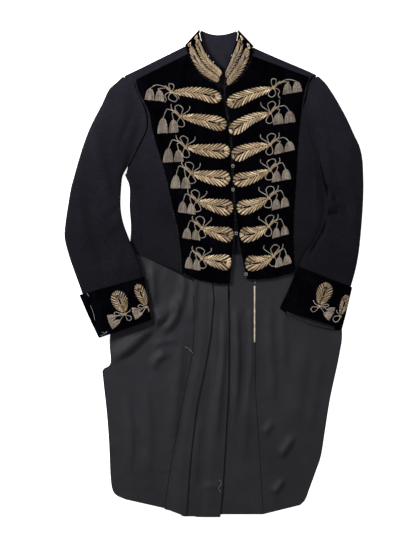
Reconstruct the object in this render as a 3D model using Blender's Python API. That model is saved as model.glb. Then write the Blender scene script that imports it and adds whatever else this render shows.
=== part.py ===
"""Court coat laid flat, front up, modelled piece by piece in millimetres and set down in metres.

+X is the right of the view from above, where the wearer's left side lies. +Y points to the collar, +Z up.
Right and left in the names are the wearer's. Each piece of cloth is a closed wall with a real thickness.
"""

import math
from collections import namedtuple

import bmesh
import bpy
import numpy as np

MM = 0.001  # one millimetre in metres
SEAM = 0.3  # what neighbouring pieces keep between them

# Cloth thicknesses
WOOL = 1.6
TWILL = 1.0
VELVET = 1.2
COLLAR_STAND = 2.2
CUFF_BAND = 2.0
BULLION = 2.4  # how far the raised embroidery stands off the velvet

# Levels above the surface that the coat lies on
LINING_LEVEL = WOOL + SEAM
SIDE_FOLD = 5.2  # the pressed fold down each side of the body
CHEST_RISE = 9.5  # the fronts' lower face at the middle of the chest
WAIST_RISE = 4.6  # and at the cut-away hem
SHOULDER_RISE = 3.0  # and along the shoulder seam
CHEST_CROWN = 2.6
CHEST_COLUMNS = 4
SIDE_COLUMNS = 3
CHEST_MIDDLE = 40.0  # X of the centre front
CHEST_HALF = 170.0
SHOULDER_RUN = 30.0  # how far below the shoulder seam the chest reaches its height

# Vent and lengthwise pleat of the tails
VENT_TOP = -20.0
VENT_RUN = 30.0  # how far below its top the vent's edges lie fully over each other
VENT_STEP = 3.4
VENT_RAMP_START = 46.0  # from the free edge
VENT_RAMP_END = 26.0
PLEAT_DEPTH = 16.0
PLEAT_LEVEL = 2.0

Seams = namedtuple("Seams", "inner_x inner_y outer_x outer_y")
FrontRow = namedtuple("FrontRow", "edge_x edge_y velvet_x velvet_y side_x side_y sag")
SideRow = namedtuple("SideRow", "back_x back_y fold_x fold_y front_x front_y")
SleeveRow = namedtuple(
    "SleeveRow", "outer_x outer_y inner_x inner_y under_x under_y top lift_out lift_in closed"
)
Spray = namedtuple("Spray", "head_x head_y bow_x bow_y tassel_x tassel_y width bend")
Crease = namedtuple("Crease", "start_x start_y end_x end_y width height")

# Each row runs from the centre seam, then the vent, to the outer seam of the back piece
BACK_RIGHT = (
    Seams(-61, 489, -192, 425),
    Seams(-25, 474, -180, 400),
    Seams(11, 466, -172, 365),
    Seams(12, 420, -170, 325),
    Seams(14, 370, -172, 285),
    Seams(17, 300, -150, 230),
    Seams(21, 200, -115, 150),
    Seams(27, 90, -75, 60),
    Seams(32, -20, -43, -20),
    Seams(32.6, -50, -43, -50),
    Seams(34, -107, -42, -107),
    Seams(34, -180, -46, -175),
    Seams(33, -255, -62, -255),
    Seams(28, -345, -79, -345),
    Seams(24, -413, -91, -410),
    Seams(20, -475, -100, -468),
    Seams(15, -525, -106, -508),
)
BACK_LEFT = (
    Seams(86, 484, 222, 427),
    Seams(50, 473, 207, 400),
    Seams(12.6, 466, 200, 365),
    Seams(13.6, 420, 203, 325),
    Seams(15.6, 370, 212, 289),
    Seams(18.6, 300, 205, 230),
    Seams(22.6, 200, 165, 150),
    Seams(28.6, 90, 125, 60),
    Seams(33.6, -20, 89, -20),
    Seams(34.4, -56, 89, -56),
    Seams(15, -100, 89, -100),
    Seams(12, -180, 91, -182),
    Seams(11, -255, 91, -255),
    Seams(6, -345, 97, -345),
    Seams(2, -413, 101, -413),
    Seams(-1, -470, 104, -470),
    Seams(-2, -519, 107, -519),
)
SKIRT_RIGHT = (
    Seams(-45.5, -20, -180, 47),
    Seams(-43, -107, -208, -30),
    Seams(-46, -172, -219, -100),
    Seams(-52, -203, -224, -150),
    Seams(-59, -237, -222, -193),
    Seams(-62, -250, -238, -207),
    Seams(-66, -268, -238, -227),
    Seams(-77, -330, -230, -300),
    Seams(-87, -382, -225, -368),
    Seams(-94, -425, -222, -436),
    Seams(-99, -457, -218, -465),
    Seams(-103, -482, -209, -478),
    Seams(-107, -506, -189, -487),
)
SKIRT_LEFT = (
    Seams(91.5, -21, 228, 37),
    Seams(90, -107, 262, -50),
    Seams(92, -172, 277, -122),
    Seams(93, -230, 271, -177),
    Seams(95, -290, 252, -266),
    Seams(98, -345, 241, -334),
    Seams(101, -397, 232, -391),
    Seams(103, -435, 221, -425),
    Seams(105, -466, 207, -463),
    Seams(107, -492, 198, -487),
    Seams(108, -519, 187, -499),
)

# Shoulder, neck, then centre edge on the inside; plastron's outer line; armhole, then side seam outside
FRONT_RIGHT = (
    FrontRow(-60, 489, -166, 438, -191, 426, 0),
    FrontRow(-54, 471, -167, 415, -179, 416, 0),
    FrontRow(-46, 454, -165, 403, -168, 405, 0),
    FrontRow(-29, 430, -160, 388, -163, 390, 0),
    FrontRow(-13, 417, -148, 366, -151, 367, 0),
    FrontRow(4, 409, -139, 345, -142, 342, 0),
    FrontRow(15, 390, -134, 318, -143, 309, 0),
    FrontRow(23, 366, -128, 292, -158, 277, 0),
    FrontRow(30, 330, -118, 258, -176, 236, 0),
    FrontRow(35, 290, -108, 227, -161, 188, 0),
    FrontRow(38, 240, -99, 190, -158, 146, 0),
    FrontRow(42, 174, -88, 140, -156, 110, 0),
    FrontRow(46, 111, -78, 98, -154, 82, 1),
    FrontRow(43, 66, -73, 60, -153, 62, 3),
    FrontRow(40, 30, -70, 30, -152, 48, 6),
    FrontRow(36, -22, -69, 2, -151, 37, 8),
)
FRONT_LEFT = (
    FrontRow(86, 486, 204, 436, 221, 428, 0),
    FrontRow(82, 466, 206, 421, 210, 424, 0),
    FrontRow(72, 443, 201, 405, 204, 408, 0),
    FrontRow(60, 425, 197, 392, 200, 394, 0),
    FrontRow(45, 410, 193, 372, 196, 374, 0),
    FrontRow(26, 401, 190, 352, 194, 353, 0),
    FrontRow(25, 375, 188, 330, 205, 332, 0),
    FrontRow(30, 348, 185, 300, 214, 300, 0),
    FrontRow(35, 322, 183, 270, 221, 266, 0),
    FrontRow(39, 288, 181, 240, 222, 230, 0),
    FrontRow(42, 240, 179, 205, 222, 195, 0),
    FrontRow(44, 190, 177, 170, 222, 150, 0),
    FrontRow(48, 130, 174, 125, 219, 110, 1),
    FrontRow(52, 85, 173, 85, 214, 80, 2),
    FrontRow(58, 50, 174, 50, 210, 45, 4),
    FrontRow(72, -13, 177, 4, 208, 14, 6),
)
SIDE_RIGHT = (
    SideRow(-173, 283, -191, 214, -180, 236),
    SideRow(-151, 229, -181, 185, -165, 188),
    SideRow(-116, 149, -181, 144, -160, 146),
    SideRow(-76, 60, -178, 95, -156, 82),
    SideRow(-45, -18, -181, 48, -153, 37),
)
SIDE_LEFT = (
    SideRow(213, 288, 233, 246, 224, 266),
    SideRow(206, 229, 240, 190, 225, 195),
    SideRow(166, 149, 243, 140, 225, 150),
    SideRow(126, 60, 236, 85, 217, 80),
    SideRow(91, -19, 230, 38, 210, 14),
)

# Stations down each sleeve. The under edge differs from the inner edge only where the armhole is open.
SLEEVE_RIGHT = (
    SleeveRow(-196, 424, -183, 420, -194, 420, 5, 0, 0, 0),
    SleeveRow(-212, 409, -172, 410, -184, 402, 10, 0, 0, 0),
    SleeveRow(-226, 395, -166, 393, -178, 384, 15, 0, 0, 0),
    SleeveRow(-241, 363, -154, 368, -175, 360, 19, 0, 0, 0),
    SleeveRow(-257, 333, -145, 340, -173, 334, 21, 0, 0, 0),
    SleeveRow(-270, 305, -146, 309, -174, 306, 22, 0, 0, 0),
    SleeveRow(-281, 275, -160, 278, -176, 279, 22, 0, 0, 0.1),
    SleeveRow(-291, 243, -179, 240, -187, 243, 21, 0, 0, 0.5),
    SleeveRow(-300, 211, -196, 209, -196, 209, 20, 0, 0, 1),
    SleeveRow(-308, 180, -199, 180, -199, 180, 20, 0, 0, 1),
    SleeveRow(-314, 144, -200, 144, -200, 144, 20, 0, 0, 1),
    SleeveRow(-319, 110, -195, 112, -195, 112, 20, 0, 1, 1),
    SleeveRow(-321, 78, -183, 78, -183, 78, 19, 0, 5, 1),
    SleeveRow(-312, 40, -168, 42, -168, 42, 18, 1, 8, 1),
    SleeveRow(-300, 5, -158, 15, -158, 15, 17, 3, 7.5, 1),
    SleeveRow(-285, -36, -153, -7, -153, -7, 11.5, 6, 6.6, 1),
    SleeveRow(-279, -53, -150, -20, -150, -20, 11.5, 6, 6.4, 1),
)
SLEEVE_LEFT = (
    SleeveRow(226, 425, 215, 422, 225, 421, 5, 0, 0, 0),
    SleeveRow(242, 409, 207, 408, 211, 402, 10, 0, 0, 0),
    SleeveRow(259, 384, 203, 392, 206, 386, 15, 0, 0, 0),
    SleeveRow(273, 360, 199, 372, 203, 366, 19, 0, 0, 0),
    SleeveRow(288, 332, 197, 350, 205, 342, 21, 0, 0, 0),
    SleeveRow(303, 299, 208, 328, 209, 318, 22, 0, 0, 0),
    SleeveRow(315, 273, 217, 298, 216, 294, 22, 0, 0, 0.1),
    SleeveRow(321, 245, 225, 264, 226, 266, 21, 0, 1, 0.6),
    SleeveRow(323, 205, 232, 222, 236, 226, 20, 0, 7, 1),
    SleeveRow(323, 172, 240, 180, 240, 180, 20, 0, 8, 1),
    SleeveRow(321, 130, 246, 135, 246, 135, 20, 0, 8, 1),
    SleeveRow(317, 81, 232, 93, 232, 93, 19, 0, 9, 1),
    SleeveRow(313, 45, 212, 62, 212, 62, 18, 1, 9, 1),
    SleeveRow(306, 8, 194, 38, 194, 38, 17, 3, 9, 1),
    SleeveRow(295, -31, 185, 13, 185, 13, 11.5, 6, 9.6, 1),
    SleeveRow(290, -48, 182, -4, 182, -4, 11.5, 6, 9, 1),
)
CUFF_RIGHT = (
    SleeveRow(-289, -46, -149, -7, -149, -7, 17, 3.3, 3.8, 1),
    SleeveRow(-276, -77, -144, -38, -144, -38, 17, 3.3, 3.5, 1),
    SleeveRow(-262, -108, -139, -69, -139, -69, 17, 3.3, 3.4, 1),
    SleeveRow(-247, -139, -134, -100, -134, -100, 17, 3.3, 3.4, 1),
)
CUFF_LEFT = (
    SleeveRow(299, -30, 181, 16, 181, 16, 17, 3.3, 7, 1),
    SleeveRow(292, -59, 174, -17, 174, -17, 17, 3.3, 5, 1),
    SleeveRow(285, -89, 168, -50, 168, -50, 17, 3.3, 3.6, 1),
    SleeveRow(277, -119, 161, -83, 161, -83, 17, 3.3, 3.4, 1),
)
CUFF_WIDTH = 140.0
CUFF_DEPTH = 102.0
CUFF_CLEARANCE = 9.0
CUFF_UNDER_RUN = {"right": 0.0, "left": 8.0}  # how far a cuff's under side reaches past its top at the mouth

# The neck seam and the free edge of the stand collar, from each front end to its side fold
COLLAR_RIGHT_SEAM = ((3, 412), (-13, 420), (-29, 432), (-46, 455), (-57, 480), (-61, 491))
COLLAR_RIGHT_TOP = ((21, 437), (-2, 459), (-18, 481), (-24, 498), (-28, 512), (-30, 525))
COLLAR_LEFT_SEAM = ((30, 405), (45, 414), (60, 428), (71, 446), (81, 468), (86, 489))
COLLAR_LEFT_TOP = ((24, 435), (35, 460), (43, 483), (48, 497), (51, 511), (53, 524))
BACK_NECK_SEAM = ((-61, 491), (-26, 478), (12, 469), (50, 477), (87, 488))
BACK_NECK_TOP = ((-30, 525), (-10, 517), (11, 514), (32, 517), (53, 524))
NECK_LINING = ((-20, 466, 44, 466), (-12, 440, 40, 440), (-4, 410, 36, 410))
COLLAR_FOLD = 4.6  # radius of the pressed folds at the sides of the neck

# Seven sprays to a side, from the neck to the hem
SPRAYS_RIGHT = (
    Spray(17, 372, -91, 391, -148, 384, 40, -5),
    Spray(28, 320, -70, 338, -121, 319, 38, -5),
    Spray(34, 262, -59, 271, -109, 255, 38, -5),
    Spray(35, 206, -47, 218, -92, 197, 37, -4),
    Spray(42, 141, -35, 157, -76, 141, 37, -4),
    Spray(43, 86, -25, 98, -66, 84, 36, -4),
    Spray(37, 25, -25, 33, -61, 20, 34, -3),
)
SPRAYS_LEFT = (
    Spray(28, 382, 130, 403, 190, 401, 40, 4),
    Spray(34, 316, 122, 346, 176, 335, 39, -4),
    Spray(40, 258, 123, 280, 174, 270, 38, -4),
    Spray(43, 206, 121, 221, 167, 210, 37, -4),
    Spray(50, 141, 120, 161, 163, 150, 36, -4),
    Spray(58, 86, 119, 101, 162, 89, 35, -4),
    Spray(70, 25, 128, 36, 167, 25, 33, -3),
)
# Along a spray, as parts of its length: half width, then height, as parts of the greatest
SPRAY_PROFILE = (
    (0.00, 0.35, 0.6),
    (0.03, 0.72, 0.8),
    (0.10, 1.00, 1.0),
    (0.22, 0.97, 1.0),
    (0.36, 0.82, 0.9),
    (0.50, 0.62, 0.9),
    (0.61, 0.38, 0.8),
    (0.65, 0.66, 1.0),
    (0.69, 0.60, 1.0),
    (0.73, 0.40, 0.7),
    (0.78, 0.64, 0.9),
    (1.00, 0.74, 0.6),
)
SPRAY_ACROSS = ((-1.0, 0.35), (-0.55, 1.0), (0.0, 0.55), (0.55, 1.0), (1.0, 0.35))

# Cuff sprays: each hangs down the cuff from the leaf's head to its tassels
CUFF_SPRAYS_RIGHT = (
    Spray(-208, -37, -187, -95, -205, -118, 34, 0),
    Spray(-165, -28, -154, -74, -167, -92, 24, 0),
)
CUFF_SPRAYS_LEFT = (
    Spray(246, -20, 222, -72, 240, -92, 36, 0),
    Spray(283, -42, 266, -92, 262, -108, 22, 0),
)
CUFF_PROFILE = (
    (0.00, 0.30, 0.7),
    (0.06, 0.80, 1.0),
    (0.18, 1.00, 1.0),
    (0.34, 0.90, 1.0),
    (0.50, 0.62, 0.9),
    (0.60, 0.36, 0.8),
    (0.68, 0.80, 1.0),
    (0.76, 0.50, 0.9),
    (0.84, 0.66, 0.9),
    (1.00, 0.80, 0.6),
)

HOOKS = ((42, 231), (42, 180), (49, 86), (70, -2))
COLLAR_HOOK = (11, 426, 15.0)
HOOK_RING = 3.4
HOOK_WIRE = 0.6

# Large soft folds of the lining: ridges that lie on the tails
CREASES_RIGHT = (
    Crease(-88, -82, -220, -196, 17, 4.2),
    Crease(-74, -62, -108, -140, 12, 2.6),
    Crease(-106, -150, -130, -200, 14, 1.6),
    Crease(-62, -120, -84, -330, 15, 1.4),
    Crease(-150, -240, -140, -440, 26, 1.8),
)
CREASES_LEFT = (
    Crease(175, -352, 143, -400, 15, 1.6),
    Crease(152, -445, 130, -476, 13, 1.4),
    Crease(128, -322, 111, -346, 12, 1.2),
    Crease(50, -60, 48, -300, 12, 1.8),
    Crease(200, -150, 180, -330, 30, 2.0),
)

PIPING_X = 96.0
PIPING_WIDTH = 5.0
PIPING_TOP = -30.0
PIPING_BOTTOM = -148.0

# Material name: colour, roughness, metallic
CLOTHS = {
    "wool": ((0.014, 0.014, 0.022, 1), 0.9, 0.0),
    "twill": ((0.032, 0.032, 0.037, 1), 0.6, 0.0),
    "velvet": ((0.004, 0.004, 0.006, 1), 0.95, 0.0),
    "neck_cloth": ((0.017, 0.020, 0.042, 1), 0.7, 0.0),
    "gilt": ((0.36, 0.29, 0.18, 1), 0.45, 0.8),
    "hook_metal": ((0.45, 0.42, 0.36, 1), 0.4, 0.9),
    "piping_cord": ((0.62, 0.56, 0.44, 1), 0.7, 0.0),
}


def material(name):
    """The one Principled material of this name."""
    found = bpy.data.materials.get(name)
    if found:
        return found
    colour, roughness, metallic = CLOTHS[name]
    made = bpy.data.materials.new(name)
    made.use_nodes = True
    shader = made.node_tree.nodes["Principled BSDF"]
    shader.inputs["Base Color"].default_value = colour
    shader.inputs["Roughness"].default_value = roughness
    shader.inputs["Metallic"].default_value = metallic
    return made


def smoothstep(value):
    """0 below 0, 1 above 1, and a soft rise between."""
    value = np.clip(value, 0.0, 1.0)
    return value * value * (3.0 - 2.0 * value)


def through(rows, steps):
    """Rows of a table with this many steps of a Catmull-Rom curve from each row to the next."""
    rows = np.array(rows, float)
    padded = np.vstack([2 * rows[0] - rows[1], rows, 2 * rows[-1] - rows[-2]])
    t = np.linspace(0.0, 1.0, steps, endpoint=False)[:, None]
    parts = []
    for before, start, end, after in zip(padded[:-3], padded[1:-2], padded[2:-1], padded[3:]):
        slope = (end - before) * t
        second = (2 * before - 5 * start + 4 * end - after) * t**2
        third = (3 * start - before - 3 * end + after) * t**3
        parts.append(0.5 * (2 * start + slope + second + third))
    return np.vstack(parts + [rows[-1:]])


def wall(name, below, above, cloth, ring=False, plain=False):
    """A closed wall between two grids of points, rows by columns.

    A ring joins each row's last column to its first. A plain wall has an underside between its two long
    edges only.
    """
    rows, columns = below.shape[:2]
    points = np.concatenate([above.reshape(-1, 3), below.reshape(-1, 3)]) * MM
    under = rows * columns
    last = columns if ring else columns - 1
    faces = []
    for row in range(rows - 1):
        for column in range(last):
            after = (column + 1) % columns
            a = row * columns + column
            b = row * columns + after
            c = b + columns
            d = a + columns
            faces += [(a, b, c), (a, c, d)]
            if not plain:
                faces += [(under + a, under + c, under + b), (under + a, under + d, under + c)]
    if plain:
        for row in range(rows - 1):
            a = under + row * columns
            b = a + columns - 1
            faces += [(a, b + columns, b), (a, a + columns, b + columns)]
    edge = []
    for column in range(last):
        after = (column + 1) % columns
        end = (rows - 1) * columns
        if plain:
            faces += [(under, after, column), (under + end, end + column, end + after)]
            continue
        edge.append((after, column))
        edge.append((end + column, end + after))
    if plain:
        far = columns - 1
        faces += [(under, under + far, far), (under + end, end + far, under + end + far)]
    if not ring:
        for row in range(rows - 1):
            edge.append((row * columns, (row + 1) * columns))
            edge.append(((row + 1) * columns + columns - 1, row * columns + columns - 1))
    for start, end in edge:
        faces += [(start, end, under + end), (start, under + end, under + start)]
    return solid(name, points, faces, cloth)


def solid(name, points, faces, cloth):
    """One named object with its faces turned outwards."""
    mesh = bpy.data.meshes.new(name)
    mesh.from_pydata([tuple(point) for point in points], [], faces)
    shape = bmesh.new()
    shape.from_mesh(mesh)
    bmesh.ops.recalc_face_normals(shape, faces=shape.faces)
    shape.to_mesh(mesh)
    shape.free()
    mesh.materials.append(material(cloth))
    mesh.shade_smooth()
    mesh.set_sharp_from_angle(angle=math.radians(40))
    made = bpy.data.objects.new(name, mesh)
    bpy.context.collection.objects.link(made)
    return made


def across(inner, outer, count):
    """A grid of points in plan: each row runs from an inner point to an outer one."""
    part = np.linspace(0.0, 1.0, count + 1)[None, :, None]
    return inner[:, None, :] * (1 - part) + outer[:, None, :] * part


def raised(plan, level):
    """The plan's points at a level, which is a number or a grid of them."""
    height = np.broadcast_to(level, plan.shape[:2])
    return np.concatenate([plan, height[:, :, None]], axis=2)


def moved_out(grid, distance):
    """A grid's points moved along the grid's own normals."""
    down = np.gradient(grid, axis=0)
    along = np.gradient(grid, axis=1)
    normal = np.cross(down, along)
    return grid + distance * normal / np.linalg.norm(normal, axis=2, keepdims=True)


def chest_level(x, y):
    """The lower face of the fronts where the plastron lies on them."""
    rise = WAIST_RISE + (CHEST_RISE - WAIST_RISE) * smoothstep((y + 40.0) / 420.0)
    crown = CHEST_CROWN * (1.0 - ((x - CHEST_MIDDLE) / CHEST_HALF) ** 2)
    return rise + crown


def below_shoulder(x, y):
    """How far a point lies below the shoulder seam of its side."""
    right = np.array([-61.0, 490.0]), np.array([-193.0, 427.0])
    left = np.array([87.0, 487.0]), np.array([223.0, 429.0])
    distances = []
    for neck, tip in (right, left):
        run = (tip - neck) / np.linalg.norm(tip - neck)
        distances.append(np.abs((x - neck[0]) * run[1] - (y - neck[1]) * run[0]))
    return np.where(x < CHEST_MIDDLE - 28.0, distances[0], distances[1])


def front_level(x, y):
    """The lower face of the fronts, which come down to the shoulder seam."""
    part = smoothstep(below_shoulder(x, y) / SHOULDER_RUN)
    return SHOULDER_RISE + (chest_level(x, y) - SHOULDER_RISE) * part


def velvet_top(x, y):
    """The upper face of the plastron."""
    return front_level(x, y) + WOOL + SEAM + VELVET


def vent_edge(y):
    """X of the right back tail's free edge at each Y."""
    rows = np.array(BACK_RIGHT, float)[8:]
    return np.interp(-y, -rows[:, 1], rows[:, 0])


def vent_step(x, y):
    """How far the right back tail is lifted, where it laps over the left one."""
    lift = np.clip((x - vent_edge(y) + VENT_RAMP_START) / (VENT_RAMP_START - VENT_RAMP_END), 0.0, 1.0)
    return VENT_STEP * lift * np.clip((VENT_TOP - y) / VENT_RUN, 0.0, 1.0)


def crease_height(x, y, creases):
    """The ridges that the lining makes over the tails at each point."""
    height = np.zeros(np.shape(x))
    for crease in creases:
        start = np.array([crease.start_x, crease.start_y], float)
        run = np.array([crease.end_x, crease.end_y], float) - start
        length = np.linalg.norm(run)
        run = run / length
        along = ((x - start[0]) * run[0] + (y - start[1]) * run[1]) / length
        aside = (x - start[0]) * run[1] - (y - start[1]) * run[0]
        fade = smoothstep(along / 0.25 + 0.5) * smoothstep((1.0 - along) / 0.25 + 0.5)
        height = height + crease.height * fade * np.exp(-((aside / crease.width) ** 2))
    return height


def back_right():
    """The right back, which steps up over the left one along the vent."""
    table = np.array(BACK_RIGHT, float)
    free = table[:, :2]
    seam = table[:, 2:]
    ramp_end = free - np.array([VENT_RAMP_END, 0.0])
    ramp_start = free - np.array([VENT_RAMP_START, 0.0])
    plan = np.stack([free, ramp_end, ramp_start, (ramp_start + seam) / 2, seam], axis=1)
    plan[0] = across(free[:1], seam[:1], 4)[0]
    level = vent_step(plan[..., 0], plan[..., 1])
    wall("back_right", raised(plan, level), raised(plan, level + WOOL), "wool")


def back_left():
    """The left back, flat on the surface."""
    table = np.array(BACK_LEFT, float)
    plan = across(table[:, :2], table[:, 2:], 2)
    wall("back_left", raised(plan, 0.0), raised(plan, WOOL), "wool")


def skirt(name, rows):
    """An outer tail of wool, flat on the surface."""
    table = through(rows, 1)
    plan = across(table[:, :2], table[:, 2:], 2)
    wall(name, raised(plan, 0.0), raised(plan, WOOL), "wool")


def skirt_lining(name, rows, creases, side, cuff_rows):
    """The twill over a skirt, inside its edges, with the large folds."""
    table = through(rows, 2)
    inner = table[:, :2] + np.array([side * 0.6, 0.0])
    outer = table[:, 2:] - np.array([side * 1.5, 0.0])
    inner[-1, 1] += 1.5
    outer[-1, 1] += 1.5
    plan = across(inner, outer, 7)
    height = crease_height(plan[..., 0], plan[..., 1], creases)
    level = LINING_LEVEL + height * clear_of_cuff(cuff_rows, plan[..., 0], plan[..., 1])
    wall(name, raised(plan, level), raised(plan, level + TWILL), "twill")


def tail_rows(rows, top):
    """The tail part of a back piece's table, from a row under the front's hem."""
    table = np.array(rows[7:], float)
    table[0] = top
    smooth = through(table, 2)
    smooth[-1, 1] += 1.5
    smooth[-1, 3] += 1.5
    return smooth


def back_lining_left(name):
    """The twill of the left back tail."""
    table = tail_rows(BACK_LEFT, (30, 40, 90, 40))
    table[:, 0] += 1.5
    table[:, 2] -= 0.6
    plan = across(table[:, :2], table[:, 2:], 7)
    aside = smoothstep((plan[..., 0] - 36.0) / 12.0) * smoothstep((-62.0 - plan[..., 1]) / 30.0)
    level = LINING_LEVEL + aside * crease_height(plan[..., 0], plan[..., 1], CREASES_LEFT)
    wall(name, raised(plan, level), raised(plan, level + TWILL), "twill")


def back_lining_right(name):
    """The twill of the right back tail: a strip from its seam folds under and comes back to the vent."""
    table = tail_rows(BACK_RIGHT, (28, 40, -43, 40))
    free = table[:, :2]
    vent = free - np.array([1.5, 0.0])
    seam = table[:, 2:] + np.array([0.6, 0.0])
    part = np.linspace(0.0, 1.0, len(table))
    fold_part = np.interp(part, (0.0, 0.25, 0.5, 0.8, 1.0), (0.5, 0.5, 0.47, 0.42, 0.36))[:, None]
    fold = seam + (vent - seam) * fold_part
    depth = PLEAT_DEPTH * np.interp(part, (0.0, 0.8, 1.0), (1.0, 0.9, 0.5))[:, None]
    back = fold - (vent - seam) / np.linalg.norm(vent - seam, axis=1, keepdims=True) * depth
    stops = []
    radius = PLEAT_LEVEL / 2.0
    inward = (vent - seam) / np.linalg.norm(vent - seam, axis=1, keepdims=True)
    for share in (0.0, 0.35, 0.7):
        stops.append((seam + (fold - seam) * share, 2.0 * PLEAT_LEVEL * smoothstep(share / 0.7)))
    stops.append((fold, 2.0 * PLEAT_LEVEL))
    stops.append((fold + inward * radius, 1.5 * PLEAT_LEVEL))
    stops.append((fold, 1.0 * PLEAT_LEVEL))
    stops.append((back, 1.0 * PLEAT_LEVEL))
    stops.append((back - inward * radius, 0.5 * PLEAT_LEVEL))
    stops.append((back, 0.0))
    for reach in (VENT_RAMP_START, VENT_RAMP_END, 0.75 * VENT_RAMP_END, 0.4 * VENT_RAMP_END, 1.5):
        stops.append((free - np.array([reach, 0.0]), 0.0))
    plan = np.stack([place for place, _ in stops], axis=1)
    lift = np.stack([np.full(len(table), float(level)) for _, level in stops], axis=1)
    level = LINING_LEVEL + TWILL / 2 + lift + vent_step(plan[..., 0], plan[..., 1])
    middle = raised(plan, level)
    wall(name, moved_out(middle, -TWILL / 2), moved_out(middle, TWILL / 2), "twill")


def front_plan(rows):
    """The plan of a front: its columns on the plastron, then those from the plastron to the side."""
    table = through(rows, 2)
    edge = table[:, 0:2]
    velvet = table[:, 2:4]
    side = table[:, 4:6]
    chest = across(edge, velvet, CHEST_COLUMNS)
    part = np.linspace(0.0, 1.0, CHEST_COLUMNS + 1)[None, :]
    chest[..., 1] -= table[:, 6:7] * 4.0 * part * (1.0 - part)
    rest = across(velvet, side, SIDE_COLUMNS)
    return chest, rest[:, 1:]


def front(name, rows, side_level):
    """A front of wool, from the centre edge to the armhole and side seam."""
    chest, rest = front_plan(rows)
    plan = np.concatenate([chest, rest], axis=1)
    level = front_level(plan[..., 0], plan[..., 1])
    from_armhole = smoothstep((np.arange(len(plan)) - 12.0) / 6.0)[:, None]
    to_side = np.concatenate([np.zeros(CHEST_COLUMNS), smoothstep(np.linspace(0.0, 1.0, SIDE_COLUMNS + 1))])[None, :]
    level = level + (side_level - level) * from_armhole * to_side
    wall(name, raised(plan, level), raised(plan, level + WOOL), "wool")


def plastron(name, rows):
    """The velvet on a front, made from the front's own points."""
    chest, _ = front_plan(rows)
    plan = chest[2:].copy()
    toward = (plan[:, -1:] - plan[:, :1]) / np.linalg.norm(plan[:, -1:] - plan[:, :1], axis=2, keepdims=True)
    plan[:, 0] += 0.8 * toward[:, 0]
    plan[:, -1] -= 0.8 * toward[:, 0]
    level = front_level(plan[..., 0], plan[..., 1]) + WOOL + SEAM
    wall(name, raised(plan, level), raised(plan, level + VELVET), "velvet")


def side_body(name, rows, outward):
    """A side of wool: flat from the back seam, round the pressed fold, and back to the front's seam."""
    table = through(rows, 2)
    seam = table[:, 0:2]
    fold = table[:, 2:4]
    front_seam = table[:, 4:6]
    radius = (SIDE_FOLD - WOOL) / 2
    turn = fold - np.array([outward * (radius + WOOL / 2), 0.0])
    columns = []
    for share in (0.0, 0.5, 1.0):
        columns.append((seam + (turn - seam) * share, WOOL / 2))
    for angle in np.radians((45.0, 90.0, 135.0)):
        shift = np.array([outward * radius * math.sin(angle), 0.0])
        columns.append((turn + shift, WOOL / 2 + radius * (1.0 - math.cos(angle))))
    for share in (1.0, 0.0):
        columns.append((front_seam + (turn - front_seam) * share, WOOL / 2 + 2 * radius))
    grid = np.stack([raised(place[:, None, :], level)[:, 0] for place, level in columns], axis=1)
    wall(name, moved_out(grid, -WOOL / 2), moved_out(grid, WOOL / 2), "wool")


def sleeve_section(table, angles, inset, gap):
    """Points of a pressed sleeve at each station, at these angles round it, this far inside its face."""
    outer = table[:, 0:2]
    top = table[:, 6:7]
    closed = table[:, 9:10]
    angles = np.asarray(angles)[None, :]
    under = np.sin(angles) < 0
    inner = np.where(under[..., None], table[:, None, 4:6], table[:, None, 2:4])
    span = inner - outer[:, None, :]
    width = np.linalg.norm(span, axis=2)
    shift = inset / np.maximum(width, 1.0)
    cosine = np.cos(angles)
    sine = np.abs(np.sin(angles))
    along = 0.5 - (0.5 - shift) * np.sign(cosine) * np.abs(cosine) ** 0.5
    plan = outer[:, None, :] + span * along[..., None]
    base = table[:, 7:8] + (table[:, 8:9] - table[:, 7:8]) * along
    half_fold = np.minimum(0.3 * top, 5.0)
    dome = sine**0.5
    upper = base + half_fold + gap + (top - half_fold - gap - inset) * dome
    lower = base + half_fold - gap - (half_fold - gap - inset) * dome
    level = np.where(under, lower, upper)
    open_level = np.where(under, base + inset, velvet_edge(plan) + WOOL - inset + 0.5)
    blend = (1.0 - closed) * smoothstep((along - 0.55) / 0.4)
    return raised(plan, level + (open_level - level) * blend)


def velvet_edge(plan):
    """The upper face of the front at the armhole, which the sleeve's head meets."""
    return front_level(plan[..., 0], plan[..., 1]) + WOOL


def sleeve(side, rows):
    """Both halves of a sleeve: open at the armhole and at the cuff."""
    table = through(rows, 1)
    steps = np.linspace(0.0, math.pi, 10)
    small = 0.02
    steps[0] = small
    steps[-1] = math.pi - small
    for name, angles in (("top_sleeve_" + side, steps), ("under_sleeve_" + side, -steps)):
        face = sleeve_section(table, angles, 0.0, SEAM / 2)
        inside = sleeve_section(table, angles, WOOL, SEAM / 2)
        wall(name, inside, face, "wool")


def cuff(side, rows):
    """A velvet band round the sleeve's end, open at both ends."""
    table = through(rows, 1)
    angles = np.linspace(0.0, 2.0 * math.pi, 26, endpoint=False) + 0.02
    face = sleeve_section(table, angles, 0.0, 0.0)
    inside = sleeve_section(table, angles, CUFF_BAND, 0.0)
    axis = table[-1, 0:4] - table[0, 0:4]
    axis = (axis[0:2] + axis[2:4]) / np.linalg.norm(axis[0:2] + axis[2:4])
    under = (np.sin(angles) < 0) * np.abs(np.sin(angles)) ** 0.5
    run = CUFF_UNDER_RUN[side] * under
    for grid in (face, inside):
        grid[-1, :, :2] += run[:, None] * axis[None, :]
    wall("cuff_" + side, inside, face, "velvet", ring=True)


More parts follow.
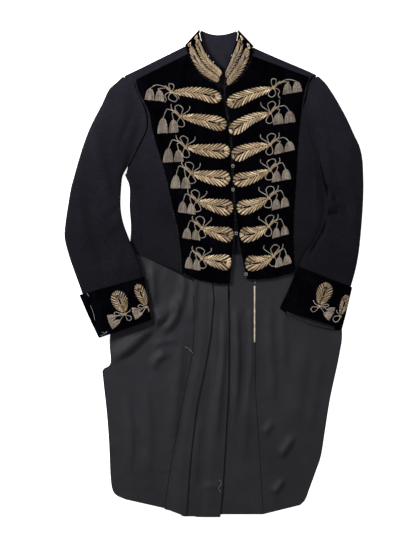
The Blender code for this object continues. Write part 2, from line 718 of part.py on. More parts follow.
def cuff_place(rows, x, y):
    """Where points in plan lie on a cuff: the share across it, and the share from its top to its mouth."""
    start, end = np.array(rows[0][:4], float), np.array(rows[-1][:4], float)
    axis = end[:2] - start[:2]
    down = np.zeros(np.shape(x))
    for _ in range(6):
        origin = start + (end - start) * down[..., None]
        span = origin[..., 2:4] - origin[..., 0:2]
        offset = np.stack([x - origin[..., 0], y - origin[..., 1]], axis=-1)
        share = (offset * span).sum(axis=-1) / (span**2).sum(axis=-1)
        top_edge = start[0:2] + (start[2:4] - start[0:2]) * share[..., None]
        offset = np.stack([x - top_edge[..., 0], y - top_edge[..., 1]], axis=-1)
        down = (offset @ axis) / (axis @ axis)
    return share, down


def clear_of_cuff(rows, x, y):
    """0 under a cuff, 1 well clear of it."""
    share, down = cuff_place(rows, x, y)
    beside = np.maximum(share - 1.0, 0.0) * CUFF_WIDTH
    beyond = np.maximum(down - 1.0, 0.0) * CUFF_DEPTH
    return smoothstep((beside + beyond - CUFF_CLEARANCE) / CUFF_CLEARANCE)


def cuff_top(rows):
    """A function for the upper face of a cuff above a point in plan."""
    table = np.array(rows, float)

    def level(x, y):
        share, down = cuff_place(rows, x, y)
        at = np.clip(down, 0.0, 1.0) * (len(table) - 1)
        top, lift_out, lift_in = (np.interp(at, np.arange(len(table)), table[:, k]) for k in (6, 7, 8))
        dome = np.maximum(1.0 - np.abs(2.0 * share - 1.0) ** 4, 0.0) ** 0.25
        half_fold = np.minimum(0.3 * top, 5.0)
        return lift_out + (lift_in - lift_out) * share + half_fold + (top - half_fold) * dome

    return level


def collar_path():
    """Stations of the collar from its right front end, round the back, to its left front end."""
    seam = []
    top = []
    right_seam = through(COLLAR_RIGHT_SEAM, 2)
    right_top = through(COLLAR_RIGHT_TOP, 2)
    left_seam = through(COLLAR_LEFT_SEAM, 2)
    left_top = through(COLLAR_LEFT_TOP, 2)
    back_seam = through(BACK_NECK_SEAM, 2)
    back_top = through(BACK_NECK_TOP, 2)
    middle = COLLAR_STAND / 2
    upper = 2 * COLLAR_FOLD + middle
    for k in range(len(right_seam) - 1):
        rise = smoothstep((len(right_seam) - 1 - k) / 8.0)
        seam.append((*right_seam[k], upper + 2.4 * rise))
        top.append((*right_top[k], upper + 4.0 * rise))
    turn(seam, top, right_seam[-1], right_top[-1], -1, (upper, middle))
    for k in range(1, len(back_seam) - 1):
        seam.append((*back_seam[k], middle))
        top.append((*back_top[k], middle))
    turn(seam, top, left_seam[-1], left_top[-1], 1, (middle, upper))
    for k in range(len(left_seam) - 2, -1, -1):
        rise = smoothstep((len(left_seam) - 1 - k) / 8.0)
        seam.append((*left_seam[k], upper + 2.4 * rise))
        top.append((*left_top[k], upper + 4.0 * rise))
    return np.array(seam), np.array(top)


def turn(seam, top, seam_end, top_end, outward, levels):
    """The stations round one pressed side fold of the collar."""
    start, end = levels
    middle = (start + end) / 2
    rising = 1.0 if end > start else -1.0
    run = (top_end - seam_end) / np.linalg.norm(top_end - seam_end)
    away = np.array([run[1], -run[0]]) * (1.0 if outward * run[1] > 0 else -1.0)
    for angle in np.radians((-90.0, -45.0, 0.0, 45.0, 90.0)):
        reach = (math.cos(angle) - 1.0) * COLLAR_FOLD
        level = middle + rising * COLLAR_FOLD * math.sin(angle)
        seam.append((*(seam_end + away * reach), level))
        top.append((*(top_end + away * reach), level))


def collar_grid(low, high, columns):
    """The collar's middle surface between two parts of its height."""
    seam, top = collar_path()
    share = np.linspace(low, high, columns + 1)[None, :, None]
    return seam[:, None, :] * (1 - share) + top[:, None, :] * share


def collar():
    """The stand collar and the cloth that lines its inner face."""
    grid = collar_grid(0.0, 1.0, 3)
    half = COLLAR_STAND / 2
    wall("collar", moved_out(grid, -half), moved_out(grid, half), "velvet")
    inner = collar_grid(0.03, 0.95, 3)[1:-1]
    near = half + SEAM
    wall("collar_lining", moved_out(inner, near), moved_out(inner, near + TWILL), "neck_cloth")


def collar_spray(name, first, last):
    """Two feather bands that run round one side of the collar, raised over a common ground."""
    grid = collar_grid(0.12, 0.90, 6)[first:last]
    near = COLLAR_STAND / 2 + SEAM
    ridge = np.array([0.4, 1.0, 0.8, 0.15, 0.8, 1.0, 0.4])[None, :, None]
    whole = np.cross(np.gradient(grid, axis=0), np.gradient(grid, axis=1))
    normal = whole / np.linalg.norm(whole, axis=2, keepdims=True)
    below = grid - normal * near
    above = grid - normal * (near + 0.6 + (BULLION - 0.6) * ridge)
    wall(name, below, above, "gilt")


def spray(name, place, profile, level, plain):
    """A leaf, a bow and two tassels in one raised piece that follows what it is sewn to."""
    head = np.array([place.head_x, place.head_y], float)
    bow = np.array([place.bow_x, place.bow_y], float)
    tassel = np.array([place.tassel_x, place.tassel_y], float)
    run = (bow - head) / np.linalg.norm(bow - head)
    side = np.array([-run[1], run[0]])
    middle = (head + bow) / 2 + side * place.bend
    axis = through((head, middle, bow, tassel), 12)
    length = np.concatenate([[0.0], np.cumsum(np.linalg.norm(np.diff(axis, axis=0), axis=1))])
    rows = np.array(profile)
    at = rows[:, 0] * length[-1]
    line = np.column_stack([np.interp(at, length, axis[:, k]) for k in range(2)])
    way = np.gradient(line, axis=0)
    way = way / np.linalg.norm(way, axis=1, keepdims=True)
    aside = np.column_stack([-way[:, 1], way[:, 0]])
    shares = np.array([share for share, _ in SPRAY_ACROSS])[None, :, None]
    heights = np.array([height for _, height in SPRAY_ACROSS])[None, :]
    half = (rows[:, 1] * place.width / 2)[:, None, None]
    plan = line[:, None, :] + aside[:, None, :] * half * shares
    ground = level(plan[..., 0], plan[..., 1]) + SEAM + 0.15
    height = 0.5 + (BULLION - 0.5) * rows[:, 2:3] * heights
    wall(name, raised(plan, ground), raised(plan, ground + height), "gilt", plain=plain)


def hook(name, x, y, level):
    """A wire eye that lies this high at the front edge."""
    bpy.ops.mesh.primitive_torus_add(
        major_segments=8,
        minor_segments=4,
        major_radius=HOOK_RING * MM,
        minor_radius=HOOK_WIRE * MM,
    )
    made = bpy.context.object
    made.name = name
    made.data.name = name
    made.data.materials.append(material("hook_metal"))
    made.location = (x * MM, y * MM, (level + HOOK_WIRE + SEAM) * MM)


def piping():
    """The cord stripe that lies on the lining beside the left tail's seam."""
    rows = np.linspace(PIPING_TOP, PIPING_BOTTOM, 9)
    inner = np.column_stack([np.full(9, PIPING_X), rows])
    outer = inner + np.array([PIPING_WIDTH, 0.0])
    plan = across(inner, outer, 2)
    level = LINING_LEVEL + crease_height(plan[..., 0], plan[..., 1], CREASES_LEFT) + TWILL + SEAM
    wall("piping", raised(plan, level), raised(plan, level + TWILL), "piping_cord")


def back_neck_lining():
    """What shows of the back's lining in the V of the collar."""
    rows = np.array(NECK_LINING, float)
    plan = across(rows[:, :2], rows[:, 2:], 2)
    wall("back_neck_lining", raised(plan, LINING_LEVEL), raised(plan, LINING_LEVEL + TWILL), "neck_cloth")


def centre_on_origin():
    """Puts the middle of the coat's plan over the origin, and its underside at Z = 0."""
    corners = []
    for made in bpy.data.objects:
        place = np.array(made.location)
        points = np.empty(len(made.data.vertices) * 3)
        made.data.vertices.foreach_get("co", points)
        corners.append(points.reshape(-1, 3) + place)
    corners = np.concatenate(corners)
    low = corners.min(axis=0)
    high = corners.max(axis=0)
    shift = np.array([-(low[0] + high[0]) / 2, -(low[1] + high[1]) / 2, -low[2]])
    for made in bpy.data.objects:
        made.location = [start + step for start, step in zip(made.location, shift)]


def build():
    """Every piece of the coat."""
    for old in list(bpy.data.objects):
        bpy.data.objects.remove(old)
    back_right()
    back_left()
    side_body("side_body_right", SIDE_RIGHT, -1)
    side_body("side_body_left", SIDE_LEFT, 1)
    skirt("skirt_right", SKIRT_RIGHT)
    skirt("skirt_left", SKIRT_LEFT)
    skirt_lining("skirt_lining_right", SKIRT_RIGHT, CREASES_RIGHT, -1, CUFF_RIGHT)
    skirt_lining("skirt_lining_left", SKIRT_LEFT, CREASES_LEFT, 1, CUFF_LEFT)
    back_lining_right("back_lining_right")
    back_lining_left("back_lining_left")
    back_neck_lining()
    front("front_right", FRONT_RIGHT, SIDE_FOLD - WOOL)
    front("front_left", FRONT_LEFT, SIDE_FOLD - WOOL)
    plastron("plastron_right", FRONT_RIGHT)
    plastron("plastron_left", FRONT_LEFT)
    sleeve("right", SLEEVE_RIGHT)
    sleeve("left", SLEEVE_LEFT)
    cuff("right", CUFF_RIGHT)
    cuff("left", CUFF_LEFT)
    collar()
    collar_spray("collar_spray_right", 1, 9)
    collar_spray("collar_spray_left", -9, -1)
    for number, place in enumerate(SPRAYS_RIGHT, 1):
        spray(f"row_{number}_right", place, SPRAY_PROFILE, velvet_top, True)
    for number, place in enumerate(SPRAYS_LEFT, 1):
        spray(f"row_{number}_left", place, SPRAY_PROFILE, velvet_top, True)
    for number, place in enumerate(CUFF_SPRAYS_RIGHT, 1):
        spray(f"cuff_spray_{number}_right", place, CUFF_PROFILE, cuff_top(CUFF_RIGHT), False)
    for number, place in enumerate(CUFF_SPRAYS_LEFT, 1):
        spray(f"cuff_spray_{number}_left", place, CUFF_PROFILE, cuff_top(CUFF_LEFT), False)
    hook("hook_collar", *COLLAR_HOOK)
    for number, (x, y) in enumerate(HOOKS, 1):
        hook(f"hook_{number}", x, y, float(velvet_top(np.array(x), np.array(y))) + 0.15)
    piping()
    centre_on_origin()


build()
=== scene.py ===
"""Court coat laid flat, front up: wool, velvet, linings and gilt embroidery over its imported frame.

The tables are in millimetres, with X to the right of the view, Y to the collar and Z up. MM turns them into
metres. Right and left are the wearer's, so the right side lies at -X.
"""

import math
from collections import namedtuple

import bpy
import numpy as np
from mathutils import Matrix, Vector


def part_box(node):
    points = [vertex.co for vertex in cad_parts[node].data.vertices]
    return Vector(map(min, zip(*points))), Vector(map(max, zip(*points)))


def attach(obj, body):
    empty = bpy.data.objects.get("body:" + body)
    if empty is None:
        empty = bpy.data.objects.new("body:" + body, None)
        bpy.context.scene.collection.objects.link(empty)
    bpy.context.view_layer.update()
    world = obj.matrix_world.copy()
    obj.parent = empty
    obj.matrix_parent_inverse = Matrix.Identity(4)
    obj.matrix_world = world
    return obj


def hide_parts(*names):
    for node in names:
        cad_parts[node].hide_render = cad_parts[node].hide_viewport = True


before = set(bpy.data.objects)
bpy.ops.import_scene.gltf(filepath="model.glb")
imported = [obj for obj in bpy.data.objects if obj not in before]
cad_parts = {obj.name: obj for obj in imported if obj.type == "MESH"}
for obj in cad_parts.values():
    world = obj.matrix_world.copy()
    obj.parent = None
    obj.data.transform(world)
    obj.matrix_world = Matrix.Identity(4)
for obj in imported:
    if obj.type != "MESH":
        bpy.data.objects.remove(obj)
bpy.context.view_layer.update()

# The view
# The coat lies on a white floor in soft studio light. The camera looks straight down at it through a long
# lens, and its frame is as high as the photograph's.
MM = 0.001
CAMERA_HEIGHT = 12.0
SENSOR_WIDTH = 36.0
FRAME_HEIGHT = 1.179
FRAME_MIDDLE_X = -18.3
FLOOR_HALF = 6.0
FLOOR_DROP = 0.0002
KEY_PLACES = {"left_light": (-1.15, 0.75, 1.15), "right_light": (1.2, 0.6, 1.15)}
KEY_POWERS = {"left_light": 37.0, "right_light": 7.0}
KEY_SIZE = 0.45
FILL_STRENGTH = 0.46
FLOOR_GLOW = 0.8

# The corner of the left back in the tables, which tells how far the frame has moved them
BACK_LEFT_CORNER = (-2.0, -519.0, 0.0)
SHIFT = np.array(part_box("back_left")[0]) - np.array(BACK_LEFT_CORNER) * MM

camera = bpy.data.objects.new("camera", bpy.data.cameras.new("camera"))
bpy.context.collection.objects.link(camera)
camera.location = (FRAME_MIDDLE_X * MM + SHIFT[0], SHIFT[1], CAMERA_HEIGHT)
camera.data.lens = SENSOR_WIDTH * CAMERA_HEIGHT / FRAME_HEIGHT
bpy.context.scene.camera = camera
bpy.context.scene.view_settings.view_transform = "Standard"

for name, place in KEY_PLACES.items():
    key = bpy.data.objects.new(name, bpy.data.lights.new(name, "AREA"))
    key.data.energy = KEY_POWERS[name]
    key.data.size = KEY_SIZE
    key.location = place
    tilt = math.atan2(math.hypot(*place[:2]), place[2])
    key.rotation_euler = (tilt, 0.0, math.atan2(place[0], -place[1]))
    bpy.context.collection.objects.link(key)
world = bpy.data.worlds.new("studio")
world.use_nodes = True
world.node_tree.nodes["Background"].inputs["Strength"].default_value = FILL_STRENGTH
world.node_tree.nodes["Background"].inputs["Color"].default_value = (1.0, 1.0, 1.0, 1.0)
bpy.context.scene.world = world


def new_finish(name, roughness, specular, metallic=0.0, sheen=0.0, sheen_tint=(1.0, 1.0, 1.0)):
    """A material, its node tree and its shader, with what is the same all over set on the shader."""
    made = bpy.data.materials.new(name)
    made.use_nodes = True
    shader = made.node_tree.nodes["Principled BSDF"]
    shader.inputs["Roughness"].default_value = roughness
    shader.inputs["Specular IOR Level"].default_value = specular
    shader.inputs["Metallic"].default_value = metallic
    shader.inputs["Sheen Weight"].default_value = sheen
    shader.inputs["Sheen Tint"].default_value = (*sheen_tint, 1.0)
    return made, made.node_tree, shader


def add_node(tree, kind, settings=None, **sockets):
    """A node, with its settings and its numbers or links given by name."""
    made = tree.nodes.new(kind)
    for key_name, value in (settings or {}).items():
        setattr(made, key_name, value)
    for key_name, value in sockets.items():
        socket = made.inputs[key_name.replace("_", " ").title()]
        if isinstance(value, bpy.types.NodeSocket):
            tree.links.new(value, socket)
        else:
            socket.default_value = value
    return made


def tones(tree, factor, *stops):
    """A ramp of colours over a factor: each stop is its position and its red, green and blue."""
    ramp = add_node(tree, "ShaderNodeValToRGB", Fac=factor)
    elements = ramp.color_ramp.elements
    while len(elements) < len(stops):
        elements.new(0.5)
    for element, (position, colour) in zip(elements, stops):
        element.position = position
        element.color = (*colour, 1.0)
    return ramp.outputs["Color"]


def coordinates(tree, kind):
    """Where each point is: "Object" gives its place in metres, "UV" its place along the threads."""
    return add_node(tree, "ShaderNodeTexCoord").outputs[kind]


def noise(tree, vector, scale, detail, roughness=0.5, distortion=0.0):
    """Uneven patches, with this many to a metre."""
    sockets = {"Vector": vector, "Scale": scale, "Detail": detail}
    sockets.update({"Roughness": roughness, "Distortion": distortion})
    return add_node(tree, "ShaderNodeTexNoise", **sockets).outputs["Fac"]


def multiplied(tree, first, second):
    """Two colours, the second of which darkens or lightens the first."""
    made = tree.nodes.new("ShaderNodeMix")
    made.data_type = "RGBA"
    made.blend_type = "MULTIPLY"
    sockets = {socket.identifier: socket for socket in made.inputs}
    sockets["Factor_Float"].default_value = 1.0
    tree.links.new(first, sockets["A_Color"])
    tree.links.new(second, sockets["B_Color"])
    return next(socket for socket in made.outputs if socket.identifier == "Result_Color")


def coloured(tree, shader, colour):
    """Leads a colour to the shader's base colour."""
    tree.links.new(colour, shader.inputs["Base Color"])


def roughen(tree, shader, *layers):
    """Bumps on a shader: each layer is a height link, its strength and its depth in metres."""
    normal = None
    for height, strength, depth in layers:
        bump = add_node(tree, "ShaderNodeBump", Height=height, Strength=strength, Distance=depth)
        if normal:
            tree.links.new(normal, bump.inputs["Normal"])
        normal = bump.outputs["Normal"]
    tree.links.new(normal, shader.inputs["Normal"])


floor_finish, tree, shader = new_finish("white_floor", 0.9, 0.1)
shader.inputs["Emission Color"].default_value = (1.0, 1.0, 1.0, 1.0)
shader.inputs["Emission Strength"].default_value = FLOOR_GLOW
place = coordinates(tree, "Object")
grain_and_glints = noise(tree, place, 40.0, 3.0)
coloured(tree, shader, tones(tree, grain_and_glints, (0.3, (0.93, 0.93, 0.94)), (0.7, (0.95, 0.95, 0.95))))
floor_mesh = bpy.data.meshes.new("floor")
floor_mesh.from_pydata(
    [(x * FLOOR_HALF, y * FLOOR_HALF, -FLOOR_DROP) for x, y in ((-1, -1), (1, -1), (1, 1), (-1, 1))],
    [],
    [(0, 1, 2, 3)],
)
floor_mesh.materials.append(floor_finish)
floor = bpy.data.objects.new("floor", floor_mesh)
bpy.context.collection.objects.link(floor)

# The backs
# Two pieces of fulled blue-black wool, sewn down the centre to the waist. Below it they are open, and the
# right one laps over the left along the vent.
WOOL = 1.6
SEAM = 0.3
SEAM_LAP = 0.5
VENT_TOP = -20.0
VENT_RUN = 30.0
VENT_STEP = 3.4
VENT_RAMP_START = 46.0
VENT_RAMP_END = 26.0
ROW_STEPS = 6
FOLD_TAPER = 0.28
NECK_BOTTOM = 468.6
LAP_COLUMNS = 14
BACK_COLUMNS = 20
SEWN_ROWS = 4.0
SEWN_RUN = 3.0
SHARP_ANGLE = math.radians(50)

Seams = namedtuple("Seams", "inner_x inner_y outer_x outer_y")
Fold = namedtuple("Fold", "height steep gentle points")

BACK_RIGHT = (
    Seams(-61, 490, -192, 425),
    Seams(-25, 477, -180, 400),
    Seams(11, 468.5, -172, 365),
    Seams(12, 420, -170, 325),
    Seams(14, 370, -172, 285),
    Seams(17, 300, -150, 230),
    Seams(21, 200, -115, 150),
    Seams(27, 90, -75, 60),
    Seams(32, -20, -43, -20),
    Seams(32.6, -50, -43, -50),
    Seams(34, -107, -42, -107),
    Seams(34, -180, -46, -175),
    Seams(33, -255, -62, -255),
    Seams(28, -345, -79, -345),
    Seams(24, -413, -91, -410),
    Seams(20, -475, -100, -468),
    Seams(15, -525, -106, -508),
)
BACK_LEFT = (
    Seams(86, 487, 222, 427),
    Seams(50, 476, 207, 400),
    Seams(11.6, 468.5, 200, 365),
    Seams(13.6, 420, 203, 325),
    Seams(15.6, 370, 212, 289),
    Seams(18.6, 300, 205, 230),
    Seams(22.6, 200, 165, 150),
    Seams(28.6, 90, 125, 60),
    Seams(32.2, -20, 89, -20),
    Seams(32.9, -56, 89, -56),
    Seams(15, -100, 89, -100),
    Seams(12, -180, 91, -182),
    Seams(11, -255, 91, -255),
    Seams(6, -345, 97, -345),
    Seams(2, -413, 101, -413),
    Seams(-1, -470, 104, -470),
    Seams(-2, -519, 107, -519),
)


def smoothstep(value):
    """0 below 0, 1 above 1, and a soft rise between."""
    value = np.clip(value, 0.0, 1.0)
    return value * value * (3.0 - 2.0 * value)


def through(rows, steps):
    """Rows of a table with this many steps of a smooth curve from each row to the next."""
    rows = np.array(rows, float)
    padded = np.vstack([2 * rows[0] - rows[1], rows, 2 * rows[-1] - rows[-2]])
    t = np.linspace(0.0, 1.0, steps, endpoint=False)[:, None]
    parts = []
    for before, start, end, after in zip(padded[:-3], padded[1:-2], padded[2:-1], padded[3:]):
        slope = (end - before) * t
        second = (2 * before - 5 * start + 4 * end - after) * t**2
        third = (3 * start - before - 3 * end + after) * t**3
        parts.append(0.5 * (2 * start + slope + second + third))
    return np.vstack(parts + [rows[-1:]])


def across(inner, outer, count):
    """A grid of points in plan: each row runs from an inner point to an outer one."""
    part = np.linspace(0.0, 1.0, count + 1)[None, :, None]
    return inner[:, None, :] * (1 - part) + outer[:, None, :] * part


def raised(plan, level):
    """The plan's points at a level, which is a number or a grid of them."""
    height = np.broadcast_to(level, plan.shape[:2])
    return np.concatenate([plan, height[:, :, None]], axis=2)


def fold_height(x, y, folds):
    """How high the listed ridges stand at each point. The height of a trough is below nought."""
    height = np.zeros(np.shape(x))
    for fold in folds:
        path = through(fold.points, 5)
        run = np.diff(path, axis=0)
        length = np.linalg.norm(run, axis=1)
        travelled = np.concatenate([[0.0], np.cumsum(length)])
        offset = np.stack([x, y], axis=-1)[..., None, :] - path[:-1]
        share = np.clip((offset * run).sum(axis=-1) / length**2, 0.0, 1.0)
        foot = offset - share[..., None] * run
        distance = np.linalg.norm(foot, axis=-1)
        nearest = distance.argmin(axis=-1)[..., None]
        away = np.take_along_axis(distance, nearest, -1)[..., 0]
        turning = run[:, 0] * foot[..., 1] - run[:, 1] * foot[..., 0]
        turning = np.take_along_axis(turning, nearest, -1)[..., 0]
        at = np.take_along_axis(travelled[:-1] + share * length, nearest, -1)[..., 0] / travelled[-1]
        width = np.where(turning > 0, fold.steep, fold.gentle)
        taper = smoothstep(at / FOLD_TAPER) * smoothstep((1.0 - at) / FOLD_TAPER)
        height = height + fold.height * taper * np.exp(-((away / width) ** 2))
    return height


def unevenness(x, y, size, height, seed):
    """Slight waves in cloth that has been worn and pressed: about this far apart and this high."""
    draw = np.random.default_rng(seed)
    total = np.zeros(np.shape(x))
    waves = 7
    for _ in range(waves):
        angle, phase = draw.uniform(0.0, 2.0 * math.pi, 2)
        reach = size * draw.uniform(0.6, 1.7)
        total = total + np.sin((x * math.cos(angle) + y * math.sin(angle)) * 2.0 * math.pi / reach + phase)
    return height * total / math.sqrt(waves)


def wall(name, below, above, finish, ring=False):
    """A closed wall of cloth between two grids of points, with a UV map in metres along its threads."""
    rows, columns = above.shape[:2]
    count = rows * columns
    points = np.concatenate([above.reshape(-1, 3), below.reshape(-1, 3)]) * MM + SHIFT
    index = np.arange(count).reshape(rows, columns)
    middle = (above + below) / 2
    if ring:
        index = np.concatenate([index, index[:, :1]], axis=1)
        middle = np.concatenate([middle, middle[:, :1]], axis=1)
    spread = np.zeros((*middle.shape[:2], 2))
    spread[:, 1:, 0] = np.cumsum(np.linalg.norm(np.diff(middle, axis=1), axis=2), axis=1) * MM
    spread[1:, :, 1] = np.cumsum(np.linalg.norm(np.diff(middle, axis=0), axis=2), axis=0) * MM
    chart = np.arange(middle.shape[0] * middle.shape[1]).reshape(middle.shape[:2])
    faces = []
    corners = []
    for grid, kept, under in ((index, faces, count), (chart, corners, 0)):
        top = np.stack([grid[:-1, :-1], grid[:-1, 1:], grid[1:, 1:], grid[1:, :-1]], axis=-1).reshape(-1, 4)
        kept += [top, top[:, ::-1] + under]
        borders = [grid[0, ::-1], grid[-1]]
        if not ring:
            borders += [grid[:, 0], grid[::-1, -1]]
        for line in borders:
            kept.append(np.stack([line[:-1], line[1:], line[1:] + under, line[:-1] + under], axis=-1))
    faces = np.concatenate(faces)
    corners = np.concatenate(corners)
    first, second, third = points[faces[:, 0]], points[faces[:, 1]], points[faces[:, 2]]
    fourth = points[faces[:, 3]]
    volume = (np.cross(first, second) * third).sum() + (np.cross(first, third) * fourth).sum()
    if volume < 0:
        faces = faces[:, ::-1]
        corners = corners[:, ::-1]
    mesh = bpy.data.meshes.new(name)
    mesh.from_pydata(points.tolist(), [], faces.tolist())
    mesh.uv_layers.new(name="UVMap").data.foreach_set("uv", spread.reshape(-1, 2)[corners.ravel()].ravel())
    mesh.materials.append(finish)
    mesh.shade_smooth()
    mesh.set_sharp_from_angle(angle=SHARP_ANGLE)
    made = bpy.data.objects.new(name, mesh)
    bpy.context.collection.objects.link(made)
    return made


def tell_frame(piece, node=None):
    """Tells the frame a piece's body, and hides the frame's own part for the node that it stands for."""
    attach(piece, "root")
    if node:
        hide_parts(node)


def lay_cloth(node, below, above, finish, ring=False):
    """The cloth of one node, and what the frame is told of it."""
    piece = wall(node + "_cloth", below, above, finish, ring)
    middle = (above + below) / 2
    if ring:
        middle = np.concatenate([middle, middle[:, :1]], axis=1)
    tell_frame(piece, node)
    return piece


def lay_flat(node, plan, level, thick, finish):
    """Cloth that lies over a plan, with its lower face at a level."""
    return lay_cloth(node, raised(plan, level), raised(plan, level + thick), finish)


def ribs(tree, vector, direction, scale, distortion):
    """The ribs of a weave, across one direction of its threads."""
    sockets = {"Vector": vector, "Scale": scale, "Distortion": distortion, "Detail": 2.0}
    return add_node(tree, "ShaderNodeTexWave", {"bands_direction": direction}, **sockets).outputs["Fac"]


def vent_step(x, y):
    """How far the right back tail is lifted, where it laps over the left one."""
    rows = np.array(BACK_RIGHT, float)[8:]
    edge = np.interp(-y, -rows[:, 1], rows[:, 0])
    lift = smoothstep((x - edge + VENT_RAMP_START) / (VENT_RAMP_START - VENT_RAMP_END))
    return VENT_STEP * lift * smoothstep((VENT_TOP - y) / VENT_RUN)


wool, tree, shader = new_finish("fulled_wool", 0.92, 0.06, sheen=0.012, sheen_tint=(0.7, 0.75, 1.0))
place = coordinates(tree, "Object")
threads = coordinates(tree, "UV")
fibre = noise(tree, place, 1500.0, 5.0, 0.7)
nap = noise(tree, place, 160.0, 6.0, 0.7)
wear = noise(tree, place, 11.0, 5.0, 0.6)
weft = ribs(tree, threads, "Y", 420.0, 3.0)
cloth = tones(tree, wear, (0.30, (0.0040, 0.0039, 0.0058)), (0.70, (0.0066, 0.0064, 0.0090)))
lint = tones(tree, nap, (0.35, (0.72, 0.72, 0.72)), (0.62, (1.05, 1.05, 1.05)), (0.80, (1.7, 1.65, 1.6)))
cloth = multiplied(tree, cloth, lint)
# Painted light: the wool is painted up to about twice as light towards the collar end. This painted sheen
# stands in for the brighter light over the shoulders.
up = add_node(tree, "ShaderNodeSeparateXYZ", Vector=place).outputs["Y"]
fade_and_painted_sheen = add_node(tree, "ShaderNodeMapRange", Value=up, From_Min=-0.05, From_Max=0.42).outputs["Result"]
fade_and_painted_sheen = tones(tree, fade_and_painted_sheen, (0.0, (1.0, 1.0, 1.0)), (0.5, (1.25, 1.25, 1.3)), (1.0, (2.1, 2.1, 2.15)))
coloured(tree, shader, multiplied(tree, cloth, fade_and_painted_sheen))
roughen(tree, shader, (fibre, 0.45, 0.0003), (weft, 0.12, 0.0002), (nap, 0.25, 0.0005))

table = through(BACK_RIGHT, ROW_STEPS)
free, seam = table[:, :2], table[:, 2:]
lap = across(free, free - np.array([VENT_RAMP_START + 4.0, 0.0]), LAP_COLUMNS)
rest = across(lap[:, -1], seam, LAP_COLUMNS)
plan = np.concatenate([lap, rest[:, 1:]], axis=1)
sewn = smoothstep((np.arange(len(plan)) / ROW_STEPS - SEWN_ROWS) / SEWN_RUN)[:, None, None]
plan = across(free, seam, plan.shape[1] - 1) * (1 - sewn) + plan * sewn
level = vent_step(plan[..., 0], plan[..., 1])
lay_flat("back_right", plan, level, WOOL, wool)

free_right = through(BACK_RIGHT, ROW_STEPS)[:, :2]
table = through(BACK_LEFT, ROW_STEPS)
meeting = np.minimum(table[:, 0], np.interp(-table[:, 1], -free_right[:, 1], free_right[:, 0]))
table[:, 0] = np.where(table[:, 1] < NECK_BOTTOM, meeting, table[:, 0])
plan = across(table[:, :2], table[:, 2:], BACK_COLUMNS)
lay_flat("back_left", plan, 0.0, WOOL, wool)

# The side bodies
# A narrow piece of the same wool at each side, pressed into a fold down the flank. Its lower half runs to
# the back's seam and its upper half to the front's.
SIDE_FOLD = 5.2
SIDE_STEPS = 12
SIDE_LOWER_SHARES = np.linspace(0.0, 1.0, 15)
SIDE_TURN = np.radians(np.linspace(18.0, 162.0, 9))
SIDE_UPPER_SHARES = np.linspace(1.0, 0.0, 9)

SideRow = namedtuple("SideRow", "back_x back_y fold_x fold_y front_x front_y")
SIDE_RIGHT = (
    SideRow(-173, 283, -191, 214, -180, 236),
    SideRow(-151, 229, -181, 185, -165, 188),
    SideRow(-116, 149, -181, 144, -160, 146),
    SideRow(-75.2, 60, -178, 95, -156, 82),
    SideRow(-43.3, -19.6, -181, 48, -153, 37),
)
SIDE_LEFT = (
    SideRow(213, 288, 233, 246, 224, 266),
    SideRow(206, 229, 240, 190, 225, 195),
    SideRow(166, 149, 243, 140, 225, 150),
    SideRow(125.2, 60, 236, 85, 217, 80),
    SideRow(89.3, -19.7, 230, 38, 210, 14),
)


def at_back_seam(rows, y):
    """Where the seam of a back lies across, at these heights."""
    table = through(rows, ROW_STEPS)[:, 2:]
    return np.interp(-y, -table[:, 1], table[:, 0])


def moved_out(grid, distance):
    """A grid's points moved along the grid's own normals."""
    down = np.gradient(grid, axis=0)
    along = np.gradient(grid, axis=1)
    normal = np.cross(down, along)
    return grid + distance * normal / np.linalg.norm(normal, axis=2, keepdims=True)


SIDES = (("side_body_right", SIDE_RIGHT, BACK_RIGHT, -1), ("side_body_left", SIDE_LEFT, BACK_LEFT, 1))
for node, rows, back_rows, outward in SIDES:
    table = through(rows, SIDE_STEPS)
    table[:, 0] = at_back_seam(back_rows, table[:, 1])
    seam, fold, front_seam = table[:, 0:2], table[:, 2:4], table[:, 4:6]
    radius = (SIDE_FOLD - WOOL) / 2
    turn = fold - np.array([outward * (radius + WOOL / 2), 0.0])
    columns = [(seam + (turn - seam) * share, WOOL / 2) for share in SIDE_LOWER_SHARES]
    for angle in SIDE_TURN:
        bulge = np.array([outward * radius * math.sin(angle), 0.0])
        columns.append((turn + bulge, WOOL / 2 + radius * (1.0 - math.cos(angle))))
    to_front = front_seam - turn
    columns += [(front_seam - to_front * share, SIDE_FOLD - WOOL / 2) for share in SIDE_UPPER_SHARES]
    grid = np.stack([raised(spot[:, None, :], height)[:, 0] for spot, height in columns], axis=1)
    lay_cloth(node, moved_out(grid, -WOOL / 2), moved_out(grid, WOOL / 2), wool)

# The skirts
# The outer tails, of wool, from the waist seam to the rounded hem. They lie face down on the floor under
# their linings, so only their edges show.
SKIRT_COLUMNS = 18
SKIRT_RIGHT = (
    Seams(-45.5, -20, -180, 47),
    Seams(-43, -107, -208, -30),
    Seams(-46, -172, -219, -100),
    Seams(-52, -203, -224, -150),
    Seams(-59, -237, -222, -193),
    Seams(-62, -250, -238, -207),
    Seams(-66, -268, -238, -227),
    Seams(-77, -330, -230, -300),
    Seams(-87, -382, -225, -368),
    Seams(-94, -425, -222, -436),
    Seams(-99, -457, -218, -465),
    Seams(-103, -482, -209, -478),
    Seams(-107, -506, -189, -487),
)
SKIRT_LEFT = (
    Seams(91.5, -21, 228, 37),
    Seams(90, -107, 262, -50),
    Seams(92, -172, 277, -122),
    Seams(93, -230, 271, -177),
    Seams(95, -290, 252, -266),
    Seams(98, -345, 241, -334),
    Seams(101, -397, 232, -391),
    Seams(103, -435, 221, -425),
    Seams(105, -466, 207, -463),
    Seams(107, -492, 198, -487),
    Seams(108, -519, 187, -499),
)
SKIRTS = (("skirt_right", SKIRT_RIGHT, BACK_RIGHT, -1), ("skirt_left", SKIRT_LEFT, BACK_LEFT, 1))
